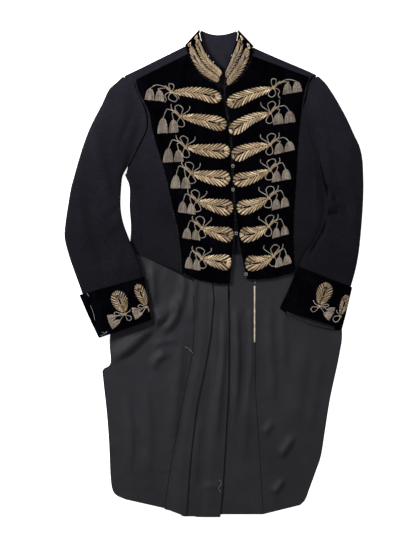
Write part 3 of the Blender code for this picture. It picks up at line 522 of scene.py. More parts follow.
for node, rows, back_rows, side in SKIRTS:
    table = through(rows, ROW_STEPS)
    table[:, 0] = at_back_seam(back_rows, table[:, 1]) - side * SEAM_LAP
    table[0, 1::2] += SEAM
    plan = across(table[:, :2], table[:, 2:], SKIRT_COLUMNS)
    lay_flat(node, plan, 0.0, WOOL, wool)

# The tail linings
# A fine warm-grey twill felled inside the edges of the tails. Most of what shows below the waist is this
# lining, with the creases of long storage. The right tail has a deep lengthwise pleat in it.
TWILL = 1.0
LINING_LEVEL = WOOL + SEAM
LINING_STEPS = 9
LINING_COLUMNS = 44
HEM_TURN = 1.5
UNDER_HEM = 4.0
SEAM_GROOVE = 0.45
PLEAT_LEVEL = 2.0
PLEAT_DEPTH = 16.0
PLEAT_FROM_EDGE = 20.0
PLEAT_RISE = 0.7
PLEAT_SHARES = np.linspace(0.0, 0.96, 20)
PLEAT_TURN = np.radians(np.linspace(90.0, -90.0, 7))
PLEAT_UNDER_SHARES = (0.25, 0.5, 0.75)
PLEAT_FREE_SHARES = np.linspace(0.06, 1.0, 26)
PUCKER_REACH = 11.0
PUCKER_HALF = 4.0
PUCKER_SLANT = 0.25
LONG_WAVES = (70.0, 0.35)
SHORT_WAVES = (24.0, 0.11)
DEEPEST = -0.9
DEEPEST_ROUNDING = 0.2
CUFF_WIDTH = 140.0
CUFF_DEPTH = 102.0
CUFF_CLEARANCE = 6.0
TAIL_FOLD_SCALE = 2.2
HEM_CLEARANCE = 20.0
FRONT_HEM = ((-152, 37), (-69, 2), (36, -22), (72, -13), (177, 4), (208, 14))
# Where the pleat's fold lies: down the tail, and across it
PLEAT_FOLD = (
    (-20, -4),
    (-55, -1),
    (-135, -7.5),
    (-204, -20),
    (-288, -38),
    (-391, -50),
    (-437, -54),
    (-525, -60),
)

SleeveRow = namedtuple(
    "SleeveRow", "outer_x outer_y inner_x inner_y under_x under_y top lift_out lift_in closed"
)
CUFF_RIGHT = (
    SleeveRow(-289, -46, -149, -7, -149, -7, 17, 3.3, 3.8, 1),
    SleeveRow(-276, -77, -144, -38, -144, -38, 17, 3.3, 3.5, 1),
    SleeveRow(-262, -108, -139, -69, -139, -69, 17, 3.3, 3.4, 1),
    SleeveRow(-247, -139, -134, -100, -134, -100, 17, 3.3, 3.4, 1),
)
CUFF_LEFT = (
    SleeveRow(299, -30, 181, 16, 182, 15, 17, 3.3, 7, 1),
    SleeveRow(292, -59, 174, -17, 169, -16, 17, 3.3, 5, 1),
    SleeveRow(285, -89, 168, -50, 156, -46, 17, 3.3, 3.6, 1),
    SleeveRow(277, -119, 161, -83, 143, -73, 17, 3.3, 3.4, 1),
)
TAIL_FOLDS_RIGHT = (
    Fold(7.0, 6, 18, ((-88, -66), (-101, -86), (-128, -112), (-157, -142), (-184, -167), (-224, -190))),
    Fold(-2.6, 7, 9, ((-104, -92), (-121, -108), (-142, -129), (-168, -154), (-206, -190))),
    Fold(4.2, 5, 13, ((-84, -48), (-79, -66), (-77, -86), (-92, -112), (-116, -133))),
    Fold(-2.4, 14, 14, ((-98, -8), (-100, -36), (-98, -62))),
    Fold(3.2, 7, 10, ((-133, 24), (-131, -14), (-128, -74))),
    Fold(-2.2, 5, 5, ((-113, 16), (-114, -2), (-116, -26))),
    Fold(2.6, 6, 10, ((-62, 8), (-64, -40), (-76, -90))),
    Fold(2.0, 6, 10, ((-100, -160), (-121, -190), (-136, -206))),
    Fold(1.8, 8, 16, ((-66, -110), (-70, -190), (-82, -300), (-92, -400))),
    Fold(2.2, 6, 12, ((-36, 5), (-41, -50), (-42, -110))),
    Fold(1.6, 5, 9, ((-70, -146), (-98, -146), (-134, -158))),
    Fold(1.2, 5, 8, ((-88, -172), (-108, -180), (-136, -184))),
    Fold(1.6, 9, 20, ((-150, -230), (-138, -320), (-141, -450))),
    Fold(1.3, 6, 14, ((-190, -250), (-176, -340), (-180, -440))),
    Fold(1.4, 4, 6, ((-27, -457), (-4, -459), (17, -456))),
    Fold(2.4, 6, 11, ((25, -60), (22, -170), (12, -280), (4, -400))),
    Fold(-1.6, 6, 8, ((9, -60), (7, -190), (-6, -290))),
    Fold(1.4, 6, 12, ((-24, -300), (-36, -380), (-42, -480))),
)
# Each pucker's place down the seam, and its height
SEAM_PUCKERS_RIGHT = (
    (-264, 0.9),
    (-281, 0.6),
    (-303, 1.0),
    (-318, 0.5),
    (-341, 0.9),
    (-362, 0.7),
    (-377, 1.0),
    (-398, 0.6),
    (-421, 0.9),
    (-437, 0.5),
)
SEAM_PUCKERS_LEFT = (
    (-205, 0.5),
    (-236, 0.7),
    (-270, 0.5),
    (-309, 0.8),
    (-352, 0.5),
    (-391, 0.7),
    (-430, 0.6),
)
TAIL_FOLDS_LEFT = (
    Fold(3.0, 5, 11, ((177, -347), (160, -374), (142, -400))),
    Fold(2.2, 5, 9, ((130, -317), (120, -333), (109, -349))),
    Fold(2.4, 5, 9, ((154, -441), (142, -459), (128, -478))),
    Fold(3.0, 7, 14, ((46, -50), (52, -150), (50, -240), (44, -330))),
    Fold(-1.8, 7, 9, ((68, -50), (71, -170), (66, -300))),
    Fold(1.8, 7, 10, ((80, -40), (82, -150), (80, -260))),
    Fold(2.2, 14, 26, ((205, -140), (188, -230), (176, -340))),
    Fold(1.6, 9, 20, ((232, -150), (222, -250), (205, -350))),
    Fold(2.0, 6, 13, ((126, -40), (123, -120), (130, -230), (128, -300))),
    Fold(1.6, 7, 12, ((150, -60), (152, -140), (158, -220))),
    Fold(1.4, 8, 12, ((78, -180), (72, -290), (64, -420))),
)


def puckers(x, y, rows, table):
    """Short creases where the lining's seam has drawn up, at these places down it."""
    height = np.zeros(np.shape(x))
    for at, lift in table:
        seam_x = np.interp(-at, -np.array(rows, float)[:, 1], np.array(rows, float)[:, 0])
        reach = np.exp(-(((x - seam_x) / PUCKER_REACH) ** 2))
        off_line = (y - at - PUCKER_SLANT * (x - seam_x)) / PUCKER_HALF
        height = height + lift * reach * np.exp(-(off_line**2))
    return height


def cuff_place(rows, x, y):
    """Where points in plan lie on a cuff: the share across it, and the share from its top to its mouth."""
    start, end = np.array(rows[0][:4], float), np.array(rows[-1][:4], float)
    axis = end[:2] - start[:2]
    down = np.zeros(np.shape(x))
    for _ in range(6):
        origin = start + (end - start) * down[..., None]
        span = origin[..., 2:4] - origin[..., 0:2]
        offset = np.stack([x - origin[..., 0], y - origin[..., 1]], axis=-1)
        share = (offset * span).sum(axis=-1) / (span**2).sum(axis=-1)
        top_edge = start[0:2] + (start[2:4] - start[0:2]) * share[..., None]
        offset = np.stack([x - top_edge[..., 0], y - top_edge[..., 1]], axis=-1)
        down = (offset @ axis) / (axis @ axis)
    return share, down


def clear_of_cuff(rows, x, y):
    """0 under a cuff, 1 well clear of it."""
    share, down = cuff_place(rows, x, y)
    beside = np.maximum(np.maximum(share - 1.0, -share), 0.0) * CUFF_WIDTH
    beyond = np.maximum(down - 1.0, 0.0) * CUFF_DEPTH
    return smoothstep((beside + beyond - CUFF_CLEARANCE) / CUFF_CLEARANCE)


def clear_of_front(x, y):
    """0 under the cut-away fronts, where the lining is held flat, and 1 below their hem."""
    hem = np.interp(x, [spot for spot, _ in FRONT_HEM], [level for _, level in FRONT_HEM])
    return smoothstep((hem - y) / HEM_CLEARANCE)


def tail_level(x, y, folds, cuff_rows, seam_rows, seam_puckers, seed):
    """How high the lining stands off the tail at each point."""
    shape = TAIL_FOLD_SCALE * fold_height(x, y, folds) + puckers(x, y, seam_rows, seam_puckers)
    shape = shape + unevenness(x, y, *LONG_WAVES, seed) + unevenness(x, y, *SHORT_WAVES, seed + 1)
    deepest = DEEPEST - DEEPEST_ROUNDING * np.tanh(-shape + DEEPEST)
    return np.maximum(shape, deepest) * clear_of_cuff(cuff_rows, x, y) * clear_of_front(x, y)


twill, tree, shader = new_finish("warm_grey_twill", 0.6, 0.16, sheen=0.012, sheen_tint=(0.9, 0.88, 1.0))
place = coordinates(tree, "Object")
threads = coordinates(tree, "UV")
slanted = (0.0, 0.0, math.radians(38))
turned = add_node(tree, "ShaderNodeMapping", Vector=threads, Rotation=slanted).outputs["Vector"]
rib = ribs(tree, turned, "X", 300.0, 1.2)
slub = noise(tree, place, 420.0, 4.0, 0.7)
age = noise(tree, place, 9.0, 6.0, 0.62)
cloth = tones(tree, age, (0.32, (0.0112, 0.0107, 0.0142)), (0.68, (0.0172, 0.0164, 0.0206)))
ribbed = tones(tree, rib, (0.1, (0.78, 0.78, 0.80)), (0.9, (1.15, 1.14, 1.12)))
cloth = multiplied(tree, cloth, ribbed)
flecked = tones(tree, slub, (0.40, (0.85, 0.85, 0.85)), (0.75, (1.25, 1.24, 1.20)))
coloured(tree, shader, multiplied(tree, cloth, flecked))
roughen(tree, shader, (rib, 0.30, 0.00025), (slub, 0.22, 0.0003))

# What shapes the lining of each tail: its folds, the cuff that presses on it, its seam's puckers and a seed
TAIL_RIGHT = (TAIL_FOLDS_RIGHT, CUFF_RIGHT, SKIRT_RIGHT, SEAM_PUCKERS_RIGHT, 11)
TAIL_LEFT = (TAIL_FOLDS_LEFT, CUFF_LEFT, SKIRT_LEFT, SEAM_PUCKERS_LEFT, 12)
SKIRT_LININGS = (
    ("skirt_lining_right", SKIRT_RIGHT, BACK_RIGHT, -1, TAIL_RIGHT),
    ("skirt_lining_left", SKIRT_LEFT, BACK_LEFT, 1, TAIL_LEFT),
)
for node, rows, back_rows, side, tail in SKIRT_LININGS:
    table = through(rows, LINING_STEPS)
    table[0, 1::2] += UNDER_HEM
    inner = table[:, :2].copy()
    inner[:, 0] = at_back_seam(back_rows, inner[:, 1]) + side * SEAM_GROOVE
    outer = table[:, 2:] - np.array([side * HEM_TURN, 0.0])
    inner[-1, 1] += HEM_TURN
    outer[-1, 1] += HEM_TURN
    plan = across(inner, outer, LINING_COLUMNS)
    x, y = plan[..., 0], plan[..., 1]
    level = LINING_LEVEL + tail_level(x, y, *tail)
    lay_flat(node, plan, level, TWILL, twill)


def tail_rows(rows, top):
    """The tail part of a back's table, from a row under the front's hem."""
    table = np.array(rows[7:], float)
    table[0] = top
    smooth = through(table, LINING_STEPS)
    smooth[-1, 1] += HEM_TURN
    smooth[-1, 3] += HEM_TURN
    return smooth


table = tail_rows(BACK_LEFT, (30, 40, 90, 40))
table[:, 0] += HEM_TURN
table[:, 2] -= SEAM_GROOVE
plan = across(table[:, :2], table[:, 2:], 30)
x, y = plan[..., 0], plan[..., 1]
aside = smoothstep((x - 36.0) / 12.0) * smoothstep((-62.0 - y) / 30.0)
level = LINING_LEVEL + aside * tail_level(x, y, *TAIL_LEFT)
lay_flat("back_lining_left", plan, level, TWILL, twill)

table = tail_rows(BACK_RIGHT, (28, 40, -43, 40))
free = table[:, :2]
seam = table[:, 2:] + np.array([SEAM_GROOVE, 0.0])
inward = (free - seam) / np.linalg.norm(free - seam, axis=1, keepdims=True)
fold = free.copy()
fold[:, 0] = np.interp(-table[:, 1], [-y for y, _ in PLEAT_FOLD], [x for _, x in PLEAT_FOLD])
fold[:, 0] = np.minimum(fold[:, 0], free[:, 0] - PLEAT_FROM_EDGE)
part = np.linspace(0.0, 1.0, len(table))
back = fold - inward * (PLEAT_DEPTH * np.interp(part, (0.0, 0.8, 1.0), (1.0, 0.9, 0.5)))[:, None]
radius = PLEAT_LEVEL / 2.0
stops = []
for share in PLEAT_SHARES:
    height = 2.0 * PLEAT_LEVEL * float(smoothstep(share / PLEAT_RISE))
    stops.append((seam + (fold - seam) * share, height))
for angle in PLEAT_TURN:
    stops.append((fold + inward * radius * math.cos(angle), (1.5 + 0.5 * math.sin(angle)) * PLEAT_LEVEL))
stops += [(fold + (back - fold) * share, PLEAT_LEVEL) for share in PLEAT_UNDER_SHARES]
for angle in PLEAT_TURN:
    stops.append((back - inward * radius * math.cos(angle), (0.5 + 0.5 * math.sin(angle)) * PLEAT_LEVEL))
free_reach = (free[:, 0] - back[:, 0])[:, None]
for share in PLEAT_FREE_SHARES:
    reach = HEM_TURN + (free_reach - HEM_TURN) * (1.0 - share)
    stops.append((free - np.concatenate([reach, np.zeros_like(reach)], axis=1), 0.0))
plan = np.stack([spot for spot, _ in stops], axis=1)
lift = np.stack([np.full(len(table), float(height)) for _, height in stops], axis=1)
x, y = plan[..., 0], plan[..., 1]
shape = tail_level(x, y, *TAIL_RIGHT)
level = LINING_LEVEL + TWILL / 2 + lift + vent_step(x, y) + np.maximum(shape, -0.5)
middle = raised(plan, level)
below, above = moved_out(middle, -TWILL / 2), moved_out(middle, TWILL / 2)
lay_cloth("back_lining_right", below, above, twill)

# The fronts
# Two fronts of wool that meet edge to edge down the centre and are cut away in a curve at the waist. Each
# rises over the chest and comes down to the shoulder seam and to the side's fold.
CHEST_RISE = 9.5
WAIST_RISE = 4.6
SHOULDER_RISE = 3.0
CHEST_CROWN = 2.6
CHEST_MIDDLE = 40.0
CHEST_HALF = 170.0
SHOULDER_RUN = 30.0
CHEST_COLUMNS = 28
SIDE_COLUMNS = 14
FRONT_STEPS = 7
WAIST_Y = -40.0
CHEST_RUN = 420.0
CENTRE_X = 12.0
RIGHT_SHOULDER = ((-61.0, 490.0), (-193.0, 427.0))
LEFT_SHOULDER = ((87.0, 487.0), (223.0, 429.0))
CHEST_WAVES = (95.0, 0.28)
CHEST_SEED = 21
ARMHOLE_ROWS = 6.0
ARMHOLE_RUN = 3.0

FrontRow = namedtuple("FrontRow", "edge_x edge_y velvet_x velvet_y side_x side_y sag")
FRONT_RIGHT = (
    FrontRow(-60, 489, -166, 438, -191, 426, 0),
    FrontRow(-54, 471, -167, 415, -179, 416, 0),
    FrontRow(-46, 454, -165, 403, -168, 405, 0),
    FrontRow(-29, 430, -160, 388, -163, 390, 0),
    FrontRow(-13, 417, -148, 366, -151, 367, 0),
    FrontRow(4, 409, -139, 345, -142, 342, 0),
    FrontRow(15, 390, -134, 318, -143, 309, 0),
    FrontRow(23, 366, -128, 292, -158, 277, 0),
    FrontRow(30, 330, -118, 258, -179.3, 236, 0),
    FrontRow(35, 290, -108, 227, -164.4, 188, 0),
    FrontRow(38, 240, -99, 190, -159.5, 146, 0),
    FrontRow(42, 174, -88, 140, -157.6, 110, 0),
    FrontRow(46, 111, -78, 98, -155.5, 82, 1),
    FrontRow(43, 66, -73, 60, -154.3, 62, 3),
    FrontRow(40, 30, -70, 30, -153.4, 48, 6),
    FrontRow(36, -22, -69, 2, -152.5, 37, 8),
)
FRONT_LEFT = (
    FrontRow(86, 486, 204, 436, 221, 428, 0),
    FrontRow(82, 466, 206, 421, 210, 424, 0),
    FrontRow(72, 443, 201, 405, 204, 408, 0),
    FrontRow(60, 425, 197, 392, 200, 394, 0),
    FrontRow(45, 410, 193, 372, 196, 374, 0),
    FrontRow(26, 401, 190, 352, 194, 353, 0),
    FrontRow(25, 375, 188, 330, 205, 332, 0),
    FrontRow(30, 348, 185, 300, 214, 300, 0),
    FrontRow(35, 322, 183, 270, 223.4, 266, 0),
    FrontRow(39, 288, 181, 240, 224.3, 230, 0),
    FrontRow(42, 240, 179, 205, 224.5, 195, 0),
    FrontRow(44, 190, 177, 170, 224.5, 150, 0),
    FrontRow(48, 130, 174, 125, 221.5, 110, 1),
    FrontRow(52, 85, 173, 85, 216.5, 80, 2),
    FrontRow(58, 50, 174, 50, 212.2, 45, 4),
    FrontRow(72, -13, 177, 4, 209.5, 14, 6),
)
CHEST_FOLDS = (
    Fold(0.9, 12, 22, ((-150, 170), (-142, 110), (-140, 50))),
    Fold(0.8, 9, 16, ((-118, 190), (-116, 120), (-112, 60))),
    Fold(0.8, 8, 14, ((204, 250), (200, 170), (199, 90))),
)


def front_level(x, y):
    """The lower face of the fronts, which come down to the shoulder seams."""
    rise = WAIST_RISE + (CHEST_RISE - WAIST_RISE) * smoothstep((y - WAIST_Y) / CHEST_RUN)
    chest = rise + CHEST_CROWN * (1.0 - ((x - CHEST_MIDDLE) / CHEST_HALF) ** 2)
    distances = []
    for neck, tip in np.array((RIGHT_SHOULDER, LEFT_SHOULDER)):
        run = (tip - neck) / np.linalg.norm(tip - neck)
        distances.append(np.abs((x - neck[0]) * run[1] - (y - neck[1]) * run[0]))
    below = np.where(x < CENTRE_X, distances[0], distances[1])
    return SHOULDER_RISE + (chest - SHOULDER_RISE) * smoothstep(below / SHOULDER_RUN)


def chest_shape(x, y):
    """The small unevenness that a front and all that is sewn on it share."""
    return fold_height(x, y, CHEST_FOLDS) + unevenness(x, y, *CHEST_WAVES, CHEST_SEED)


def front_plan(rows):
    """The plan of a front: its columns on the plastron, then those from the plastron to the side."""
    table = through(rows, FRONT_STEPS)
    chest = across(table[:, 0:2], table[:, 2:4], CHEST_COLUMNS)
    part = np.linspace(0.0, 1.0, CHEST_COLUMNS + 1)[None, :]
    chest[..., 1] -= table[:, 6:7] * 4.0 * part * (1.0 - part)
    rest = across(table[:, 2:4], table[:, 4:6], SIDE_COLUMNS)
    return chest, rest[:, 1:]


for node, rows in (("front_right", FRONT_RIGHT), ("front_left", FRONT_LEFT)):
    chest, rest = front_plan(rows)
    plan = np.concatenate([chest, rest], axis=1)
    x, y = plan[..., 0], plan[..., 1]
    level = front_level(x, y) + chest_shape(x, y)
    from_armhole = smoothstep((np.arange(len(plan)) / FRONT_STEPS - ARMHOLE_ROWS) / ARMHOLE_RUN)[:, None]
    to_side = smoothstep(np.linspace(0.0, 1.0, SIDE_COLUMNS + 1))
    to_side = np.concatenate([np.zeros(CHEST_COLUMNS), to_side])[None, :]
    level = level + (SIDE_FOLD - WOOL - level) * from_armhole * to_side
    lay_flat(node, plan, level, WOOL, wool)

# The plastron
# Black silk velvet over each front, from the neck seam to the cut-away hem. Its raw outer edge is turned
# under and felled, and has begun to fray.
VELVET = 1.2
PLASTRON_INSET = 0.8

velvet, tree, shader = new_finish("black_velvet", 0.95, 0.004, sheen=0.004, sheen_tint=(0.6, 0.65, 1.0))
place = coordinates(tree, "Object")
combed = add_node(tree, "ShaderNodeMapping", Vector=place, Scale=(1.0, 0.35, 1.0)).outputs["Vector"]
pile = noise(tree, place, 2200.0, 3.0, 0.7)
streak = noise(tree, combed, 55.0, 6.0, 0.65)
# Crushed patches of pile are painted up to about twice as light and a little bluer. This is partly the
# pile's own crushing and partly a painted sheen.
crushed = noise(tree, place, 16.0, 4.0, distortion=0.6)
cloth = tones(tree, streak, (0.36, (0.0003, 0.0003, 0.0005)), (0.62, (0.0009, 0.0009, 0.0015)))
crushed_pile_sheen = tones(tree, crushed, (0.45, (1.0, 1.0, 1.0)), (0.72, (1.9, 1.95, 2.2)))
coloured(tree, shader, multiplied(tree, cloth, crushed_pile_sheen))
roughen(tree, shader, (pile, 0.5, 0.0003), (streak, 0.2, 0.0006))

for node, rows in (("plastron_right", FRONT_RIGHT), ("plastron_left", FRONT_LEFT)):
    plan = front_plan(rows)[0][FRONT_STEPS - 1 :].copy()
    toward = (plan[:, -1] - plan[:, 0]) / np.linalg.norm(plan[:, -1] - plan[:, 0], axis=1, keepdims=True)
    plan[:, 0] += PLASTRON_INSET * toward
    plan[:, -1] -= PLASTRON_INSET * toward
    x, y = plan[..., 0], plan[..., 1]
    level = front_level(x, y) + chest_shape(x, y) + WOOL + SEAM
    edge = np.minimum(np.arange(CHEST_COLUMNS + 1), np.arange(CHEST_COLUMNS + 1)[::-1])[None, :]
    swell = VELVET * (0.72 + 0.28 * smoothstep(edge / 1.5))
    lay_flat(node, plan, level, swell, velvet)

# The sleeves
# Two-piece sleeves of wool, set in full at the armhole and bent at the elbow. They lie pressed nearly flat,
# with deep creases at the armhole and the elbow's inside.
SLEEVE_STEPS = 8
SLEEVE_COLUMNS = 56
UNDER_COLUMNS = 26
EDGE_SHARE = 0.3
EDGE_MOST = 5.0
DOME_POWER = 4
ARMHOLE_BLEND = (0.55, 0.4)
ARMHOLE_ROOM = 0.5
SLEEVE_WAVES = (60.0, 0.45)
SLEEVE_SEED = 31
FLAT_TOP = 5.0
CREASE_RUN = 10.0

SLEEVE_RIGHT = (
    SleeveRow(-196, 424, -183, 420, -194, 420, 5, 0, 0, 0),
    SleeveRow(-212, 409, -172, 410, -184, 402, 10, 0, 0, 0),
    SleeveRow(-226, 395, -166, 393, -178, 384, 15, 0, 0, 0),
    SleeveRow(-241, 363, -154, 368, -175, 360, 19, 0, 0, 0),
    SleeveRow(-257, 333, -145, 340, -173, 334, 21, 0, 0, 0),
    SleeveRow(-270, 305, -146, 309, -174, 306, 22, 0, 0, 0),
    SleeveRow(-281, 275, -160, 278, -176, 279, 22, 0, 0, 0.1),
    SleeveRow(-291, 243, -179, 240, -187, 243, 21, 0, 0, 0.5),
    SleeveRow(-300, 211, -196, 209, -196, 209, 20, 0, 0, 1),
    SleeveRow(-308, 180, -199, 180, -199, 180, 20, 0, 0, 1),
    SleeveRow(-314, 144, -200, 144, -200, 144, 20, 0, 0, 1),
    SleeveRow(-319, 110, -195, 112, -195, 112, 20, 0, 1, 1),
    SleeveRow(-321, 78, -183, 78, -183, 78, 19, 0, 5, 1),
    SleeveRow(-312, 40, -168, 42, -168, 42, 18, 1, 8, 1),
    SleeveRow(-300, 5, -158, 15, -158, 15, 17, 3, 7.5, 1),
    SleeveRow(-285, -36, -153, -7, -153, -7, 11.5, 6, 6.6, 1),
    SleeveRow(-279, -53, -150, -20, -150, -20, 11.5, 6, 6.4, 1),
)
SLEEVE_LEFT = (
    SleeveRow(226, 425, 215, 422, 225, 421, 5, 0, 0, 0),
    SleeveRow(242, 409, 207, 408, 211, 402, 10, 0, 0, 0),
    SleeveRow(259, 384, 203, 392, 206, 386, 15, 0, 0, 0),
    SleeveRow(273, 360, 199, 372, 203, 366, 19, 0, 0, 0),
    SleeveRow(288, 332, 193, 350, 205, 342, 21, 0, 0, 0),
    SleeveRow(303, 299, 202, 328, 209, 318, 22, 0, 0, 0),
    SleeveRow(315, 273, 211, 298, 216, 294, 22, 0, 0, 0.1),
    SleeveRow(321, 245, 220, 264, 226, 266, 21, 0, 1, 0.6),
    SleeveRow(323, 205, 229, 222, 232, 226, 20, 0, 7, 1),
    SleeveRow(323, 172, 236, 180, 236, 180, 20, 0, 8, 1),
    SleeveRow(321, 130, 239, 135, 239, 135, 20, 0, 8, 1),
    SleeveRow(317, 81, 229, 93, 229, 93, 19, 0, 9, 1),
    SleeveRow(313, 45, 212, 62, 212, 62, 18, 1, 9, 1),
    SleeveRow(306, 8, 194, 38, 194, 38, 17, 3, 9, 1),
    SleeveRow(295, -31, 185, 13, 185, 13, 11.5, 6, 9.6, 1),
    SleeveRow(290, -48, 182, -4, 182, -4, 11.5, 6, 9, 1),
)
SLEEVE_FOLDS = {
    "right": (
        Fold(-11.0, 4, 6, ((-144, 345), (-157, 305), (-176, 255), (-191, 212), (-196, 180))),
        Fold(4.0, 8, 12, ((-158, 345), (-174, 302), (-191, 257), (-203, 205))),
        Fold(-4.5, 5, 8, ((-150, 312), (-167, 268), (-186, 230))),
        Fold(-4.0, 6, 9, ((-170, 350), (-190, 303), (-206, 262))),
        Fold(4.6, 9, 18, ((-262, 325), (-246, 262), (-232, 199), (-222, 140))),
        Fold(-4.2, 8, 13, ((-276, 205), (-260, 118), (-248, 70), (-240, 29), (-243, -24))),
        Fold(2.6, 9, 16, ((-296, 190), (-286, 120), (-272, 50))),
        Fold(-3.6, 6, 9, ((-197, 152), (-212, 130), (-238, 112))),
        Fold(3.0, 7, 11, ((-192, 122), (-212, 100), (-242, 88))),
        Fold(2.4, 8, 14, ((-196, 70), (-206, 30), (-204, -10))),
        Fold(-2.4, 9, 12, ((-218, 60), (-222, 20), (-219, -20))),
    ),
    "left": (
        Fold(
            -13.0, 4, 5, ((203, 352), (213, 322), (222, 284), (229, 248), (238, 206), (247, 168), (251, 134))
        ),
        Fold(5.5, 9, 14, ((219, 350), (230, 316), (240, 274), (249, 232), (257, 200))),
        Fold(-11.0, 4, 6, ((244, 133), (254, 131), (272, 128))),
        Fold(-8.0, 4, 6, ((240, 196), (252, 180), (270, 152))),
        Fold(3.4, 6, 10, ((248, 172), (258, 154), (270, 139))),
        Fold(-11.0, 4, 6, ((246, 126), (237, 92), (220, 62), (206, 32))),
        Fold(4.6, 9, 17, ((258, 262), (285, 216), (306, 168), (309, 130), (298, 84))),
        Fold(-3.2, 12, 14, ((268, 192), (284, 150), (286, 108))),
        Fold(2.4, 12, 20, ((250, 92), (248, 44), (240, -4))),
        Fold(2.0, 9, 14, ((282, 300), (292, 260), (300, 220))),
    ),
}


def dome_across(share):
    """How a pressed tube's face bulges: 1 over most of it, and 0 at its two edges."""
    return np.maximum(1.0 - np.abs(2.0 * share - 1.0) ** DOME_POWER, 0.0) ** (1.0 / DOME_POWER)


def sleeve_section(table, along, upper_half, inset, gap, folds=()):
    """Points of a pressed sleeve at each station and at these shares across, this far inside its face."""
    outer = table[:, 0:2]
    top = table[:, 6:7]
    closed = table[:, 9:10]
    inner = table[:, 2:4] if upper_half else table[:, 4:6]
    span = inner - outer
    margin = inset / np.maximum(np.linalg.norm(span, axis=1, keepdims=True), 1.0)
    share = margin + (1.0 - 2.0 * margin) * along[None, :]
    plan = outer[:, None, :] + span[:, None, :] * share[..., None]
    base = table[:, 7:8] + (table[:, 8:9] - table[:, 7:8]) * share
    half_fold = np.minimum(EDGE_SHARE * top, EDGE_MOST)
    dome = dome_across(along[None, :])
    x, y = plan[..., 0], plan[..., 1]
    if upper_half:
        level = base + half_fold + gap + (top - half_fold - gap - inset) * dome
        creases = fold_height(x, y, folds) + unevenness(x, y, *SLEEVE_WAVES, SLEEVE_SEED)
        level = level + dome * creases * smoothstep((top - FLAT_TOP) / CREASE_RUN)
        at_body = front_level(x, y) + chest_shape(x, y) + 2.0 * WOOL - inset + ARMHOLE_ROOM
    else:
        level = base + half_fold - gap - (half_fold - gap - inset) * dome
        at_body = base + inset
    blend_from, blend_run = ARMHOLE_BLEND
    blend = (1.0 - closed) * smoothstep((share - blend_from) / blend_run)
    return raised(plan, level + (at_body - level) * blend)


def shares_across(count):
    """Shares from one pressed edge to the other, closer together at the edges."""
    return 0.5 - 0.5 * np.cos(np.linspace(0.0, math.pi, count + 1))


for side, rows in (("right", SLEEVE_RIGHT), ("left", SLEEVE_LEFT)):
    table = through(rows, SLEEVE_STEPS)
    halves = ((f"under_sleeve_{side}", False, UNDER_COLUMNS), (f"top_sleeve_{side}", True, SLEEVE_COLUMNS))
    for node, upper_half, count in halves:
        along = shares_across(count)
        face = sleeve_section(table, along, upper_half, 0.0, SEAM / 2, SLEEVE_FOLDS[side])
        inside = sleeve_section(table, along, upper_half, WOOL, SEAM / 2, SLEEVE_FOLDS[side])
        lay_cloth(node, inside, face, wool)

# The cuffs
# Deep bands of the same black velvet round the ends of the sleeves. The left one's mouth gapes, and shows
# the twill that lines its lower half.
CUFF_BAND = 2.0
CUFF_STEPS = 9
CUFF_COLUMNS = 72
LINING_STRIP = 15.0
STRIP_THICK = 0.7
STRIP_COLUMNS = 40
STRIP_ROWS = 14
CUFF_UNDER_RUN = {"right": 0.0, "left": 13.0}
CUFF_FOLDS = {
    "right": (
        Fold(-0.9, 8, 12, ((-270, -70), (-255, -100), (-240, -130))),
        Fold(0.7, 9, 14, ((-230, -30), (-222, -80), (-214, -125))),
    ),
    "left": (
        Fold(-1.0, 8, 12, ((190, 10), (184, -30), (178, -80))),
        Fold(0.8, 9, 15, ((214, 0), (206, -50), (200, -95))),
    ),
}


def cuff_top(rows, x, y):
    """The upper face of a cuff above points in plan."""
    table = np.array(rows, float)
    share, down = cuff_place(rows, x, y)
    share = np.clip(share, 0.004, 0.996)
    at = np.clip(down, 0.0, 1.0) * (len(table) - 1)
    top, lift_out, lift_in = (np.interp(at, np.arange(len(table)), table[:, k]) for k in (6, 7, 8))
    dome = dome_across(share)
    half_fold = np.minimum(EDGE_SHARE * top, EDGE_MOST)
    return lift_out + (lift_in - lift_out) * share + half_fold + (top - half_fold) * dome


def cuff_ground(side):
    """A function that gives the upper face of one cuff, with its creases."""
    rows, folds = {"right": CUFF_RIGHT, "left": CUFF_LEFT}[side], CUFF_FOLDS[side]

    def ground(x, y):
        share, _ = cuff_place(rows, x, y)
        inward = np.sin(np.clip(share, 0.0, 1.0) * math.pi)
        return cuff_top(rows, x, y) + fold_height(x, y, folds) * inward

    return ground


def cuff_axis(table):
    """The direction in plan from a cuff's top to its mouth."""
    axis = (table[-1, 0:2] + table[-1, 2:4] - table[0, 0:2] - table[0, 2:4]) / 2
    return axis / np.linalg.norm(axis)


for side, rows in (("right", CUFF_RIGHT), ("left", CUFF_LEFT)):
    table = through(rows, CUFF_STEPS)
    half = shares_across(CUFF_COLUMNS // 2)
    faces = []
    for inset in (0.0, CUFF_BAND):
        upper = sleeve_section(table, half, True, inset, 0.0)
        lower = sleeve_section(table, half[1:-1][::-1], False, inset, 0.0)
        creases = fold_height(upper[..., 0], upper[..., 1], CUFF_FOLDS[side])
        upper[..., 2] += creases * np.sin(half * math.pi)[None, :]
        reach = CUFF_UNDER_RUN[side] * np.sin(half[1:-1][::-1] * math.pi) ** 0.5
        reach = reach[None, :] * smoothstep((np.arange(len(table)) / (len(table) - 1) - 0.7) / 0.3)[:, None]
        lower[..., :2] += reach[..., None] * cuff_axis(table)
        faces.append(np.concatenate([upper, lower], axis=1))
    lay_cloth(f"cuff_{side}", faces[1], faces[0], velvet, ring=True)

